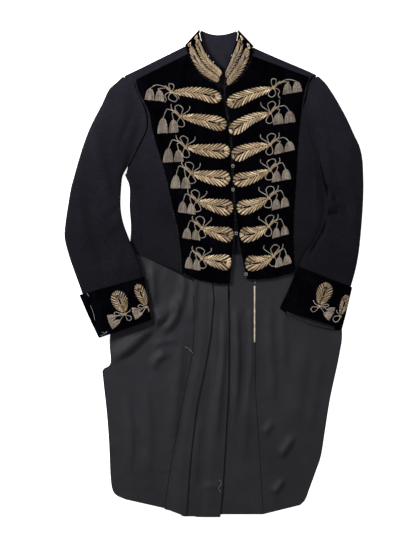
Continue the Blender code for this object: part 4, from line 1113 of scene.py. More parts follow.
# The lining strip inside the left cuff's mouth
# The twill turned over the mouth's lower edge, loose and wrinkled, which shows past the velvet.
table = through(CUFF_LEFT, CUFF_STEPS)
along = np.linspace(0.10, 0.90, STRIP_COLUMNS)
lower = sleeve_section(table[-1:], along, False, CUFF_BAND + SEAM, 0.0)[0]
run = CUFF_UNDER_RUN["left"] * np.sin(along * math.pi) ** 0.5
steps = np.linspace(0.0, 1.0, STRIP_ROWS)
strip = np.repeat(lower[None], len(steps), axis=0)
past_edge = (run - 0.6)[None, :, None] - LINING_STRIP * (1.0 - steps)[:, None, None]
strip[..., :2] += past_edge * cuff_axis(table)
wrinkle = 0.6 * np.sin(along * 39.0 + 1.3) + 0.45 * np.sin(along * 17.0)
strip[..., 2] += 0.9 + wrinkle[None, :] * np.sin(steps * math.pi)[:, None] * 0.8
piece = wall("cuff_lining_left_cloth", strip, strip + np.array([0.0, 0.0, STRIP_THICK]), twill)
tell_frame(piece)

# The collar
# A stand collar of velvet pressed flat, folded at both sides of the neck, and lined with blue-grey cloth
# that shows at the back of the neck.
COLLAR_STAND = 2.2
COLLAR_FOLD = 4.6
COLLAR_STEPS = 8
COLLAR_COLUMNS = 14
COLLAR_TRIM = 3
SEAM_RISE = 2.4
EDGE_RISE = 4.0
COLLAR_RIGHT_SEAM = ((9, 409), (-13, 420), (-29, 432), (-46, 455), (-57, 480), (-61, 491))
COLLAR_RIGHT_TOP = ((21, 437), (-2, 459), (-18, 481), (-24, 498), (-28, 512), (-30, 525))
COLLAR_LEFT_SEAM = ((31, 402), (45, 413), (60, 428), (71, 446), (81, 468), (86, 489))
COLLAR_LEFT_TOP = ((24, 435), (35, 460), (43, 483), (48, 497), (51, 511), (53, 524))
BACK_NECK_SEAM = ((-61, 491), (-26, 478), (12, 469), (50, 477), (87, 488))
BACK_NECK_TOP = ((-30, 525), (-10, 517), (11, 514), (32, 517), (53, 524))
NECK_LINING = ((-20, 466, 44, 466), (-12, 440, 40, 440), (-4, 410, 36, 410))


def collar_turn(seam, top, seam_end, top_end, outward, start, end):
    """The stations round one pressed side fold of the collar."""
    rising = 1.0 if end > start else -1.0
    run = (top_end - seam_end) / np.linalg.norm(top_end - seam_end)
    away = np.array([run[1], -run[0]]) * (1.0 if outward * run[1] > 0 else -1.0)
    for angle in np.radians(np.linspace(-90.0, 90.0, 15)):
        reach = (math.cos(angle) - 1.0) * COLLAR_FOLD
        level = (start + end) / 2 + rising * COLLAR_FOLD * math.sin(angle)
        seam.append((*(seam_end + away * reach), level))
        top.append((*(top_end + away * reach), level))


def collar_path():
    """Stations of the collar from its right front end, round the back, to its left front end."""
    seam = []
    top = []
    right_seam, right_top = (through(rows, COLLAR_STEPS) for rows in (COLLAR_RIGHT_SEAM, COLLAR_RIGHT_TOP))
    left_seam, left_top = (through(rows, COLLAR_STEPS) for rows in (COLLAR_LEFT_SEAM, COLLAR_LEFT_TOP))
    back_seam, back_top = (through(rows, COLLAR_STEPS) for rows in (BACK_NECK_SEAM, BACK_NECK_TOP))
    low = COLLAR_STAND / 2
    high = 2 * COLLAR_FOLD + low
    last = len(right_seam) - 1
    rise = smoothstep((last - np.arange(last + 1)) / (4.0 * COLLAR_STEPS))
    for k in range(last - COLLAR_TRIM):
        seam.append((*right_seam[k], high + SEAM_RISE * rise[k]))
        top.append((*right_top[k], high + EDGE_RISE * rise[k]))
    collar_turn(seam, top, right_seam[-1], right_top[-1], -1, high, low)
    for k in range(2, len(back_seam) - 2):
        seam.append((*back_seam[k], low))
        top.append((*back_top[k], low))
    collar_turn(seam, top, left_seam[-1], left_top[-1], 1, low, high)
    for k in range(last - COLLAR_TRIM - 1, -1, -1):
        seam.append((*left_seam[k], high + SEAM_RISE * rise[k]))
        top.append((*left_top[k], high + EDGE_RISE * rise[k]))
    return np.array(seam), np.array(top)


collar_seam, collar_top = collar_path()


def collar_grid(low, high, columns):
    """The collar's middle surface between two parts of its height."""
    share = np.linspace(low, high, columns + 1)[None, :, None]
    return collar_seam[:, None, :] * (1 - share) + collar_top[:, None, :] * share


tint = (0.8, 0.85, 1.0)
neck_cloth, tree, shader = new_finish("blue_grey_lining", 0.72, 0.12, sheen=0.015, sheen_tint=tint)
place = coordinates(tree, "Object")
threads = coordinates(tree, "UV")
yarn = ribs(tree, threads, "Y", 330.0, 2.0)
soil = noise(tree, place, 24.0, 6.0, 0.6)
cloth = tones(tree, soil, (0.30, (0.0060, 0.0060, 0.0110)), (0.70, (0.0115, 0.0112, 0.0190)))
woven = tones(tree, yarn, (0.1, (0.8, 0.8, 0.8)), (0.9, (1.15, 1.15, 1.15)))
coloured(tree, shader, multiplied(tree, cloth, woven))
roughen(tree, shader, (yarn, 0.3, 0.0003), (soil, 0.2, 0.001))

half = COLLAR_STAND / 2
grid = collar_grid(0.0, 1.0, COLLAR_COLUMNS)
lay_cloth("collar", moved_out(grid, -half), moved_out(grid, half), velvet)
inner = collar_grid(0.01, 0.95, COLLAR_COLUMNS)[2:-2]
pucker = 0.35 * np.abs(np.sin(np.arange(len(inner)) * 0.42))[:, None, None] * np.array([0.0, 0.0, 1.0])
near, far = moved_out(inner, half + SEAM), moved_out(inner, half + SEAM + TWILL)
lay_cloth("collar_lining", near, far + pucker, neck_cloth)

rows = through(NECK_LINING, 12)
plan = across(rows[:, :2], rows[:, 2:], 30)
neck_curve = through(BACK_NECK_SEAM, 12)
under_collar = np.interp(plan[..., 0], neck_curve[:, 0], neck_curve[:, 1]) - NECK_LINING[0][1] + SEAM
plan[..., 1] += under_collar * np.linspace(1.0, 0.0, len(plan))[:, None]
x, y = plan[..., 0], plan[..., 1]
drape = 0.55 * (1.0 + np.sin(x / 3.9 + 0.6)) * smoothstep((468.0 - y) / 20.0) + 0.2
below, above = raised(plan, LINING_LEVEL), raised(plan, LINING_LEVEL + TWILL + drape)
lay_cloth("back_neck_lining", below, above, neck_cloth)

# The embroidery of the rows
# Seven sprays to a side, worked in gilt bullion over felt padding: a leaf whose barbs fan out from a slit
# spine to its rounded head, a bow of fine cord, and two tassels. Each is sewn flat on the velvet.
PAD = 2.3
PAD_FALL = 0.78
PAD_PEAK = 0.95
PAD_TAPER = 0.3
BARB_PITCH = 8.4
BARB_RADIUS = 1.1
BARB_SPREAD = 0.165
RIM_NOTCH = 0.91
FAN_PITCH = 0.78
FAN_ROOT = 0.38
BARB_SLANT = math.radians(40)
BARB_REACH = 2.0
BARB_BEND = 0.09
BARB_SHIFT = 0.35
BARB_POINTS = 8
BARB_SIZES = (0.92, 1.08)
BARB_PROFILE = ((0.0, 0.3, 0.7, 0.94, 1.0), (0.5, 0.85, 1.0, 1.0, 0.6))
STRAND_TONES = (-0.12, 0.12)
LOWEST_BARB = 0.35
USUAL_HALF_WIDTH = 18.0
FAN_LEAST = 1.8
SLIT_CORD_ROOM = 0.8
LEAF_START = 0.05
LEAF_GAP = 5.0
CORD = 0.78
CORD_TONE = 1.1
STRAND = 0.66
STRANDS = 14
TASSEL_POINTS = 9
HEAD_DROP = 0.04
HEAD_SPREAD = 0.26
SHOULDER_DROP = 0.30
SHOULDER_SPREAD = 0.92
TASSEL_CROWN = 1.7
TASSEL_ROUNDING = 0.85
SUNK_ONE_IN = 3
SUNK_DEPTH = 0.75
SUNK_SHADE = 0.22
TASSEL_TONE = -0.22
DRIFT_KEPT = 0.5
DRIFT_STEP = 0.22
BINDINGS = 3
SLIT_HALF = 1.7
SLIT_LENGTH = 20.0
FELT_ROWS = 60
FELT_COLUMNS = 25
INNER_TASSEL = 0.47
OUTER_TASSEL = 0.51
KNOT_WRAPS = ((-2.6, 1.8), (0.0, -0.6), (2.6, -2.4))

Spray = namedtuple("Spray", "head middle bow slit leaf_width tassels width height rise")
Line = namedtuple("Line", "points thick tone")

ROWS_RIGHT = (
    Spray((17.0, 376.0), (-35.4, 389.0), (-90.3, 390.8), 0.69, 34, (-126.9, 384.6), 42.0, 29.0, 0.1),
    Spray((28.9, 318.2), (-26.5, 330.9), (-71.2, 338.0), 0.67, 36, (-98.3, 319.5), 45.7, 31.5, -0.05),
    Spray((35.7, 262.6), (-15.5, 265.4), (-60.0, 272.0), 0.67, 37, (-86.9, 255.9), 44.0, 29.0, -0.06),
    Spray((35.8, 203.5), (-3.9, 207.0), (-48.0, 215.8), 0.69, 40, (-71.0, 197.7), 43.0, 29.0, 0.0),
    Spray((42.4, 139.5), (4.3, 146.1), (-35.2, 155.6), 0.63, 40, (-57.7, 141.0), 37.7, 28.5, 0.14),
    Spray((43.5, 81.7), (8.4, 87.1), (-25.0, 98.2), 0.58, 38, (-47.9, 84.7), 37.5, 26.7, 0.14),
    Spray((38.4, 22.0), (8.4, 26.1), (-25.0, 32.6), 0.54, 40, (-44.8, 20.8), 33.0, 29.5, 0.19),
)
ROWS_LEFT = (
    Spray((29.5, 363.5), (81.3, 385.9), (128.6, 400.2), 0.70, 35, (170.0, 399.5), 41.6, 29.0, 0.17),
    Spray((34.7, 304.2), (78.0, 330.9), (122.0, 346.0), 0.78, 34, (152.5, 334.9), 48.5, 31.0, 0.15),
    Spray((40.1, 250.7), (79.1, 267.1), (121.5, 277.5), 0.77, 37, (152.7, 270.4), 44.6, 29.0, 0.23),
    Spray((42.4, 198.3), (82.7, 207.0), (121.6, 223.0), 0.76, 35, (146.3, 210.6), 41.2, 29.0, 0.19),
    Spray((50.2, 139.5), (83.7, 146.1), (118.6, 163.2), 0.66, 37, (144.5, 150.4), 37.5, 28.5, 0.25),
    Spray((56.5, 82.8), (86.8, 85.8), (118.2, 101.8), 0.61, 38, (144.5, 88.8), 35.8, 27.0, 0.28),
    Spray((68.1, 22.0), (98.1, 23.1), (128.8, 37.6), 0.58, 39, (150.2, 25.8), 35.0, 28.0, 0.3),
)
# Half width of a leaf from its bow end to its head, as shares of its length and of its greatest half width
LEAF_SHAPE = (
    (0.0, 0.16),
    (0.06, 0.34),
    (0.18, 0.56),
    (0.32, 0.72),
    (0.56, 0.88),
    (0.70, 0.98),
    (0.78, 1.0),
    (0.87, 0.93),
    (0.94, 0.72),
    (0.98, 0.42),
    (1.0, 0.0),
)
# Cords of a bow from its knot: outward and up, in millimetres
BOW_LOOPS = (
    ((0, 0), (-5.4, 12.9), (-5.4, 19), (0, 24), (7.5, 25.4), (12.8, 21.5), (10.7, 15), (4.3, 7.5), (0, 0)),
    (
        (0, 0),
        (-6.4, -10.7),
        (-9.4, -17.2),
        (-6.4, -22.0),
        (-1.1, -23.6),
        (5.4, -21.0),
        (7, -14),
        (4.3, -5.4),
        (0, 0),
    ),
    ((0, 0), (-8.6, 7.5), (-17.2, 12.9), (-21.5, 18.2), (-20.9, 23.6)),
    ((12, 9), (18, 15.5), (22, 22), (21.5, 28)),
)
FIRST_BOW_LOOPS = (
    ((0, 0), (5, 8), (6.8, 14), (5.0, 18.5), (0.5, 19.5), (-4.6, 17.0), (-4.6, 10), (0, 0)),
    ((0, 0), (5.0, -7.7), (5.8, -15.4), (-1.1, -21), (-8.8, -21), (-12.1, -15.4), (-7.7, -7.0), (0, 0)),
    ((0, 0), (9.9, -3.0), (14.6, -8.2), (11, -17), (15.4, -24)),
    ((0, 0), (-11, -5.6), (-15.4, -10.5), (-17.6, -16.5)),
)
BOW_BAND = ((-2, -2), (5, 4.5), (12, 10.5), (16, 12.5))


def wires_along_lines():
    """Nodes that turn lines into round wires: each line's points say how thick it is there."""
    tree = bpy.data.node_groups.new("wires_along_lines", "GeometryNodeTree")
    tree.interface.new_socket("Lines", in_out="INPUT", socket_type="NodeSocketGeometry")
    tree.interface.new_socket("Sides", in_out="INPUT", socket_type="NodeSocketInt")
    tree.interface.new_socket("Finish", in_out="INPUT", socket_type="NodeSocketMaterial")
    tree.interface.new_socket("Wires", in_out="OUTPUT", socket_type="NodeSocketGeometry")
    given = tree.nodes.new("NodeGroupInput")
    result = tree.nodes.new("NodeGroupOutput")
    curves = tree.nodes.new("GeometryNodeMeshToCurve")
    thickness = tree.nodes.new("GeometryNodeInputNamedAttribute")
    thickness.data_type = "FLOAT"
    thickness.inputs["Name"].default_value = "thickness"
    travelled = tree.nodes.new("GeometryNodeSplineParameter")
    marked = tree.nodes.new("GeometryNodeStoreNamedAttribute")
    marked.data_type = "FLOAT"
    marked.domain = "POINT"
    marked.inputs["Name"].default_value = "along"
    profile = tree.nodes.new("GeometryNodeCurvePrimitiveCircle")
    profile.inputs["Radius"].default_value = 1.0
    turning = tree.nodes.new("GeometryNodeSplineParameter")
    turned = tree.nodes.new("GeometryNodeStoreNamedAttribute")
    turned.data_type = "FLOAT"
    turned.domain = "POINT"
    turned.inputs["Name"].default_value = "around"
    tubes = tree.nodes.new("GeometryNodeCurveToMesh")
    tubes.inputs["Fill Caps"].default_value = True
    smooth = tree.nodes.new("GeometryNodeSetShadeSmooth")
    whole = tree.nodes.new("GeometryNodeRealizeInstances")
    finished = tree.nodes.new("GeometryNodeSetMaterial")
    link = tree.links.new
    link(given.outputs["Lines"], curves.inputs["Mesh"])
    link(curves.outputs["Curve"], marked.inputs["Geometry"])
    link(thickness.outputs["Attribute"], tubes.inputs["Scale"])
    link(travelled.outputs["Length"], marked.inputs["Value"])
    link(given.outputs["Sides"], profile.inputs["Resolution"])
    link(profile.outputs["Curve"], turned.inputs["Geometry"])
    link(turning.outputs["Factor"], turned.inputs["Value"])
    link(marked.outputs["Geometry"], tubes.inputs["Curve"])
    link(turned.outputs["Geometry"], tubes.inputs["Profile Curve"])
    link(tubes.outputs["Mesh"], smooth.inputs["Geometry"])
    link(smooth.outputs["Geometry"], whole.inputs["Geometry"])
    link(whole.outputs["Geometry"], finished.inputs["Geometry"])
    link(given.outputs["Finish"], finished.inputs["Material"])
    link(finished.outputs["Geometry"], result.inputs["Wires"])
    return tree


WIRE_TREE = wires_along_lines()


def wire_piece(name, lines, finish, sides=8):
    """One piece of many wires. Each line has its points in millimetres, its thickness and its tone."""
    points = np.concatenate([line.points for line in lines]) * MM + SHIFT
    thick = np.concatenate([np.broadcast_to(line.thick, len(line.points)) for line in lines]) * MM
    tone = np.concatenate([np.full(len(line.points), line.tone) for line in lines])
    edges = []
    start = 0
    for line in lines:
        edges += [(k, k + 1) for k in range(start, start + len(line.points) - 1)]
        start += len(line.points)
    mesh = bpy.data.meshes.new(name + "_lines")
    mesh.from_pydata(points.tolist(), edges, [])
    mesh.attributes.new("thickness", "FLOAT", "POINT").data.foreach_set("value", thick)
    mesh.attributes.new("tone", "FLOAT", "POINT").data.foreach_set("value", tone)
    made = bpy.data.objects.new(name, mesh)
    bpy.context.collection.objects.link(made)
    modifier = made.modifiers.new("wires", "NODES")
    modifier.node_group = WIRE_TREE
    given = [item for item in WIRE_TREE.interface.items_tree if item.in_out == "INPUT"]
    sockets = {item.name: item.identifier for item in given}
    modifier[sockets["Sides"]] = sides
    modifier[sockets["Finish"]] = finish
    evaluated = made.evaluated_get(bpy.context.evaluated_depsgraph_get())
    result = bpy.data.meshes.new_from_object(evaluated)
    result.name = name
    made.modifiers.remove(modifier)
    made.data = result
    return made


def distances_along(points):
    """How far each point of a row lies from the first one, along the row."""
    return np.concatenate([[0.0], np.cumsum(np.linalg.norm(np.diff(points, axis=0), axis=1))])


def leaf_pad(along, aside, length, half, shape):
    """The height of the padding in a leaf: two low swells with the spine's groove between them."""
    shape = np.array(shape)
    edge = np.interp(along, shape[:, 0] * length, shape[:, 1] * half)
    share = np.abs(aside) / np.maximum(edge, 0.5)
    swell = PAD * np.maximum(1.0 - PAD_FALL * (2.0 * share - PAD_PEAK) ** 2, 0.0)
    return swell * smoothstep(edge / (PAD_TAPER * half))


def slit_half(along, length, slit):
    """Half the width of a leaf's open slit."""
    start, end = slit[0] * length, slit[1] * length
    middle, reach = (start + end) / 2, (end - start) / 2
    return SLIT_HALF * np.maximum(1.0 - ((along - middle) / reach) ** 2, 0.0) ** 0.3


def leaf_lines(length, half, shape, slit, pitch, slant, pale, draw, put):
    """The wires of a leaf: barbs of two wires from its spine to its edge, and a cord round its slit.

    pale is the range of tones. put gives places on the coat for points that are given by their distances
    from the bow and from the spine and by their height.
    """
    table = np.array(shape)
    inset = half - BARB_REACH * half / USUAL_HALF_WIDTH
    rim = through(np.column_stack([table[:, 0] * length, table[:, 1] * inset]), 6)
    rim[:, 1] = np.maximum(rim[:, 1], 0.0)
    travelled = np.concatenate([[0.0], np.cumsum(np.hypot(*np.diff(rim, axis=0).T))])
    whole = travelled[-1]
    centre = slit[1] * length + 1.0
    part = np.linspace(0.0, 1.0, BARB_POINTS)
    barbs = []
    at = whole * LEAF_START
    while at < whole - pitch * FAN_PITCH / 2:
        tip_along, tip_aside = np.interp(at, travelled, rim[:, 0]), np.interp(at, travelled, rim[:, 1])
        barbs.append(at)
        at += pitch * (FAN_PITCH if tip_along - tip_aside / math.tan(slant) > centre else 1.0)
    lines = []
    for side in (-1, 1):
        for barb in barbs + [whole] * (side > 0):
            middle = barb + draw.uniform(-BARB_SHIFT, BARB_SHIFT)
            barb_tone = draw.uniform(*pale)
            for strand in (-1, 1):
                at = np.clip(middle + strand * BARB_SPREAD * pitch, 0.0, whole)
                tip = np.array([np.interp(at, travelled, rim[:, 0]), np.interp(at, travelled, rim[:, 1])])
                start = tip[0] - tip[1] / math.tan(slant)
                tip[1] *= RIM_NOTCH if strand < 0 else 1.0
                if start < centre:
                    start = max(start, 0.0)
                    root = np.array([start, float(slit_half(start, length, slit)) * 1.6 + 0.5])
                else:
                    way = tip - np.array([centre, 0.0])
                    reach = max(float(np.linalg.norm(way)), 1.0)
                    root = np.array([centre, 0.0]) + max(FAN_LEAST, FAN_ROOT * reach) * way / reach
                run = tip - root
                bent = (root + tip) / 2 + BARB_BEND * np.array([run[1], -run[0]])
                curve = (1 - part)[:, None] ** 2 * root + 2 * (part * (1 - part))[:, None] * bent
                curve = curve + part[:, None] ** 2 * tip
                size = BARB_RADIUS * pitch / BARB_PITCH * draw.uniform(*BARB_SIZES)
                width = size * np.interp(part, *BARB_PROFILE)
                height = leaf_pad(curve[:, 0], curve[:, 1], length, half, shape) + 0.3 * width
                tone = barb_tone + draw.uniform(*STRAND_TONES)
                height = np.maximum(height, LOWEST_BARB)
                lines.append(Line(put(curve[:, 0], side * curve[:, 1], height), width, tone))
    middle = (slit[0] + slit[1]) / 2 * length
    reach = (slit[1] - slit[0]) / 2 * length
    turning = np.radians(np.linspace(0.0, 360.0, 25))
    u = middle + (reach + SLIT_CORD_ROOM) * np.cos(turning)
    w = (SLIT_HALF + SLIT_CORD_ROOM) * np.sign(np.sin(turning)) * np.abs(np.sin(turning)) ** 0.6
    lines.append(Line(put(u, w, leaf_pad(u, w, length, half, shape) + 0.9), 0.5, 0.5))
    return lines


def leaf_felt(name, length, half, shape, slit, finish, put):
    """The padded ground under a leaf's wires, open along the slit."""
    across_leaf = np.linspace(-1.0, 1.0, FELT_COLUMNS)
    across_leaf = np.sign(across_leaf) * np.abs(across_leaf) ** 1.4
    u = np.linspace(0.0, 0.985 * length, FELT_ROWS)[:, None] * np.ones(FELT_COLUMNS)[None, :]
    table = np.array(shape)
    edge = np.interp(u, table[:, 0] * length, table[:, 1] * half)
    w = 0.86 * edge * across_leaf[None, :]
    height = leaf_pad(u, w, length, half, shape) - 1.0
    height = np.where(np.abs(w) < slit_half(u, length, slit), -0.25, np.maximum(height, 0.05))
    above = put(u.ravel(), w.ravel(), height.ravel()).reshape(*u.shape, 3)
    below = put(u.ravel(), w.ravel(), np.full(u.size, -0.4)).reshape(*u.shape, 3)
    return wall(name, below, above, finish)


def slit_line(length, slit, put):
    """The dark ground that shows in a leaf's open slit."""
    u = np.linspace(slit[0] * length + 0.6, slit[1] * length - 0.6, 9)
    return Line(put(u, np.zeros(9), np.full(9, -0.5)), SLIT_HALF * 0.95, 0.5)


def on_spine(head, middle, bow, ground):
    """A function that puts a leaf's own points on the coat, along a spine from its bow to its head."""
    spine = through((bow, middle, head), 20)
    travelled = distances_along(spine) - LEAF_GAP
    way = np.gradient(spine, axis=0)
    way = way / np.linalg.norm(way, axis=1, keepdims=True)

    def put(u, w, height):
        spot = np.column_stack([np.interp(u, travelled, spine[:, k]) for k in range(2)])
        heading = np.column_stack([np.interp(u, travelled, way[:, k]) for k in range(2)])
        plan = spot + np.column_stack([-heading[:, 1], heading[:, 0]]) * np.asarray(w)[:, None]
        return np.column_stack([plan, ground(plan[:, 0], plan[:, 1]) + height])

    return put, travelled[-1]


def cord_line(points, ground, lift, thick, tone, steps=5):
    """A cord laid through points in plan on what carries it."""
    plan = through(points, steps)
    height = ground(plan[:, 0], plan[:, 1]) + lift
    return Line(np.column_stack([plan, height]), thick, tone)


def tassel_lines(head, start, end, strands, ground, draw):
    """A tassel: a bound head, and strands that spread like a tent from it to a straight fringe."""
    head, start, end = (np.array(point, float) for point in (head, start, end))
    lines = []
    part = np.linspace(0.0, 1.0, TASSEL_POINTS)[:, None]
    down = (start + end) / 2 - head
    drift = 0.0
    for number in range(strands):
        share = (number + 0.5) / strands
        foot = start + (end - start) * share + down * draw.uniform(-0.03, 0.02)
        top = head + (foot - head) * HEAD_DROP + (end - start) * (share - 0.5) * HEAD_SPREAD
        shoulder = head + down * SHOULDER_DROP + (end - start) * (share - 0.5) * SHOULDER_SPREAD
        plan = (1 - part) ** 2 * top + 2 * part * (1 - part) * shoulder + part**2 * foot
        crown = TASSEL_CROWN * math.sqrt(max(1.0 - (2.0 * share - 1.0) ** 2 * TASSEL_ROUNDING, 0.0))
        sunk = number % SUNK_ONE_IN == SUNK_ONE_IN - 1
        lift = 0.55 + (crown - SUNK_DEPTH * sunk) * np.interp(part[:, 0], (0.0, 0.3, 1.0), (1.0, 0.95, 0.55))
        height = ground(plan[:, 0], plan[:, 1]) + np.maximum(lift, 0.4)
        width = STRAND * np.interp(part[:, 0], (0.0, 0.3, 1.0), (0.7, 1.0, 1.15))
        drift = DRIFT_KEPT * drift + draw.uniform(-DRIFT_STEP, DRIFT_STEP)
        # Painted shade: the sunk strands are painted darker, standing in for the shade between the raised
        # ones.
        tone = TASSEL_TONE + drift - SUNK_SHADE * sunk
        lines.append(Line(np.column_stack([plan, height]), width, tone))
    aside = (end - start) / np.linalg.norm(end - start)
    for number in range(BINDINGS):
        spot = head + down * (0.02 + 0.05 * number)
        reach = 1.2 + 0.6 * number
        plan = np.array([spot + aside * reach * share for share in (-1.0, -0.5, 0.0, 0.5, 1.0)])
        lift = np.array([0.5, 2.1, 2.6, 2.1, 0.5])
        lines.append(Line(np.column_stack([plan, ground(plan[:, 0], plan[:, 1]) + lift]), 0.7, 0.1))
    return lines


def velvet_top(x, y):
    """The upper face of the plastron."""
    return front_level(x, y) + chest_shape(x, y) + WOOL + SEAM + VELVET


def reckoned(tree, operation, *values):
    """A sum of numbers and links, worked out in the shader."""
    made = add_node(tree, "ShaderNodeMath", {"operation": operation})
    for socket, value in zip(made.inputs, values):
        if isinstance(value, bpy.types.NodeSocket):
            tree.links.new(value, socket)
        else:
            socket.default_value = value
    return made.outputs["Value"]


def attribute(tree, name):
    """A value that each wire carries with it."""
    return add_node(tree, "ShaderNodeAttribute", {"attribute_name": name}).outputs["Fac"]


# How far one turn of the bullion's coil is, in metres
COIL_PITCH = 0.0007
gilt, tree, shader = new_finish("gilt_bullion", 0.46, 0.5, metallic=0.72)
tone = attribute(tree, "tone")
along = attribute(tree, "along")
around = attribute(tree, "around")
place = coordinates(tree, "Object")
metal = tones(
    tree,
    reckoned(tree, "MULTIPLY_ADD", tone, 0.62, 0.30),
    (0.05, (0.190, 0.160, 0.136)),
    (0.28, (0.340, 0.295, 0.250)),
    (0.42, (0.285, 0.210, 0.134)),
    (0.68, (0.460, 0.345, 0.217)),
    (0.90, (0.800, 0.650, 0.455)),
    (0.97, (0.330, 0.305, 0.270)),
)
tarnish = noise(tree, place, 70.0, 5.0, 0.6)
stains = (0.30, (0.62, 0.55, 0.48)), (0.52, (1.0, 1.0, 1.0)), (0.75, (1.18, 1.16, 1.12))
tarnished = tones(tree, tarnish, *stains)
metal = multiplied(tree, metal, tarnished)
# Painted highlights: fine patches of the metal are painted up to 1.7 times as light, and others darker. They
# stand in for glints on the coils.
grain_and_glints = noise(tree, place, 420.0, 3.0, 0.7)
painted_glints = tones(tree, grain_and_glints, (0.34, (0.45, 0.42, 0.38)), (0.5, (1.0, 1.0, 1.0)), (0.68, (1.7, 1.65, 1.55)))
coloured(tree, shader, multiplied(tree, metal, painted_glints))
coil = reckoned(tree, "MULTIPLY_ADD", along, 2.0 * math.pi / COIL_PITCH, around)
roughen(tree, shader, (reckoned(tree, "SINE", coil), 0.6, 0.00015), (tarnish, 0.25, 0.0004))

# The felt is coloured dark brown. This is partly its own colour and partly painted shade for the grooves
# between the barbs.
felt, tree, shader = new_finish("embroidery_felt", 0.9, 0.1)
place = coordinates(tree, "Object")
fuzz = noise(tree, place, 700.0, 4.0)
coloured(tree, shader, tones(tree, fuzz, (0.3, (0.030, 0.021, 0.013)), (0.7, (0.075, 0.055, 0.036))))
roughen(tree, shader, (fuzz, 0.4, 0.0005))

slit_lines = []
for side, outward, sprays in (("right", -1, ROWS_RIGHT), ("left", 1, ROWS_LEFT)):
    for number, spray in enumerate(sprays, 1):
        draw = np.random.default_rng(100 * number + (7 if side == "right" else 3))
        node = f"row_{number}_{side}"
        put, length = on_spine(spray.head, spray.middle, spray.bow, velvet_top)
        half = spray.leaf_width / 2
        slit = (spray.slit - SLIT_LENGTH / length / 2, spray.slit + SLIT_LENGTH / length / 2)
        lines = leaf_lines(length, half, LEAF_SHAPE, slit, BARB_PITCH, BARB_SLANT, (0.3, 1.0), draw, put)
        slit_lines.append(slit_line(length, slit, put))
        knot = np.array(spray.bow, float)
        local = np.array([outward, 1.0])
        loops = FIRST_BOW_LOOPS if number == 1 else BOW_LOOPS
        for order, loop in enumerate(loops):
            jitter = draw.uniform(-0.9, 0.9, (len(loop), 2))
            jitter[0] = 0.0
            points = knot + (np.array(loop) * 0.94 + jitter) * local
            lines.append(cord_line(points, velvet_top, 1.5 + 0.35 * order, CORD, CORD_TONE))
        left, right = spray.tassels[0] - spray.width / 2, spray.tassels[0] + spray.width / 2
        near, far = (right, left) if outward < 0 else (left, right)
        foot = spray.tassels[1] - spray.height / 2
        crown = spray.tassels[1] + spray.height / 2
        inner_start, inner_end = near, near + (far - near) * INNER_TASSEL
        outer_start, outer_end = near + (far - near) * OUTER_TASSEL, far
        inner_head = ((inner_start + inner_end) / 2, crown - 4.5)
        outer_head = ((outer_start + outer_end) / 2 - outward * 1.5, crown - 0.5)
        ends = (inner_start, inner_end, outer_start, outer_end)
        fringe = [(spot, foot + spray.rise * abs(spot - near)) for spot in ends]
        lines += tassel_lines(inner_head, fringe[0], fringe[1], STRANDS, velvet_top, draw)
        lines += tassel_lines(outer_head, fringe[2], fringe[3], STRANDS + 2, velvet_top, draw)
        for aside in (-1.5, 0.0, 1.5):
            band = knot + (np.array(BOW_BAND) + np.array([-0.7, 0.7]) * aside) * local
            lines.append(cord_line(band, velvet_top, 2.2 - 0.25 * abs(aside), 0.8, 0.25))
        leave = knot + np.array([15.0, 11.0]) * local
        crest = max(leave[1], outer_head[1]) + 3.5
        first_third = ((leave[0] * 2 + outer_head[0]) / 3, crest)
        second_third = ((leave[0] + outer_head[0] * 2) / 3, crest)
        arch = (leave, first_third, second_third, outer_head)
        lines.append(cord_line(arch, velvet_top, 1.6, CORD, CORD_TONE))
        leave = knot + np.array([14.0, 8.0]) * local
        crest = max(inner_head[1] + 3.0, leave[1])
        halfway = ((leave[0] + inner_head[0]) / 2, crest)
        arch = (leave, halfway, (inner_head[0] + outward * 3.0, crest - 1.0), inner_head)
        lines.append(cord_line(arch, velvet_top, 1.4, CORD, CORD_TONE))
        for aside in (-1.6, 0.0, 1.6):
            wrap = knot + (np.array(KNOT_WRAPS) + np.array([0.7, 0.9]) * aside) * local
            lines.append(cord_line(wrap, velvet_top, 2.9 - 0.3 * abs(aside), 1.0, 0.45))
        piece = wire_piece(node + "_work", lines, gilt)
        tell_frame(piece, node)
        padding = leaf_felt(node + "_felt", length, half, LEAF_SHAPE, slit, felt, put)
        tell_frame(padding)

piece = wire_piece("row_slits", slit_lines, velvet)
tell_frame(piece)

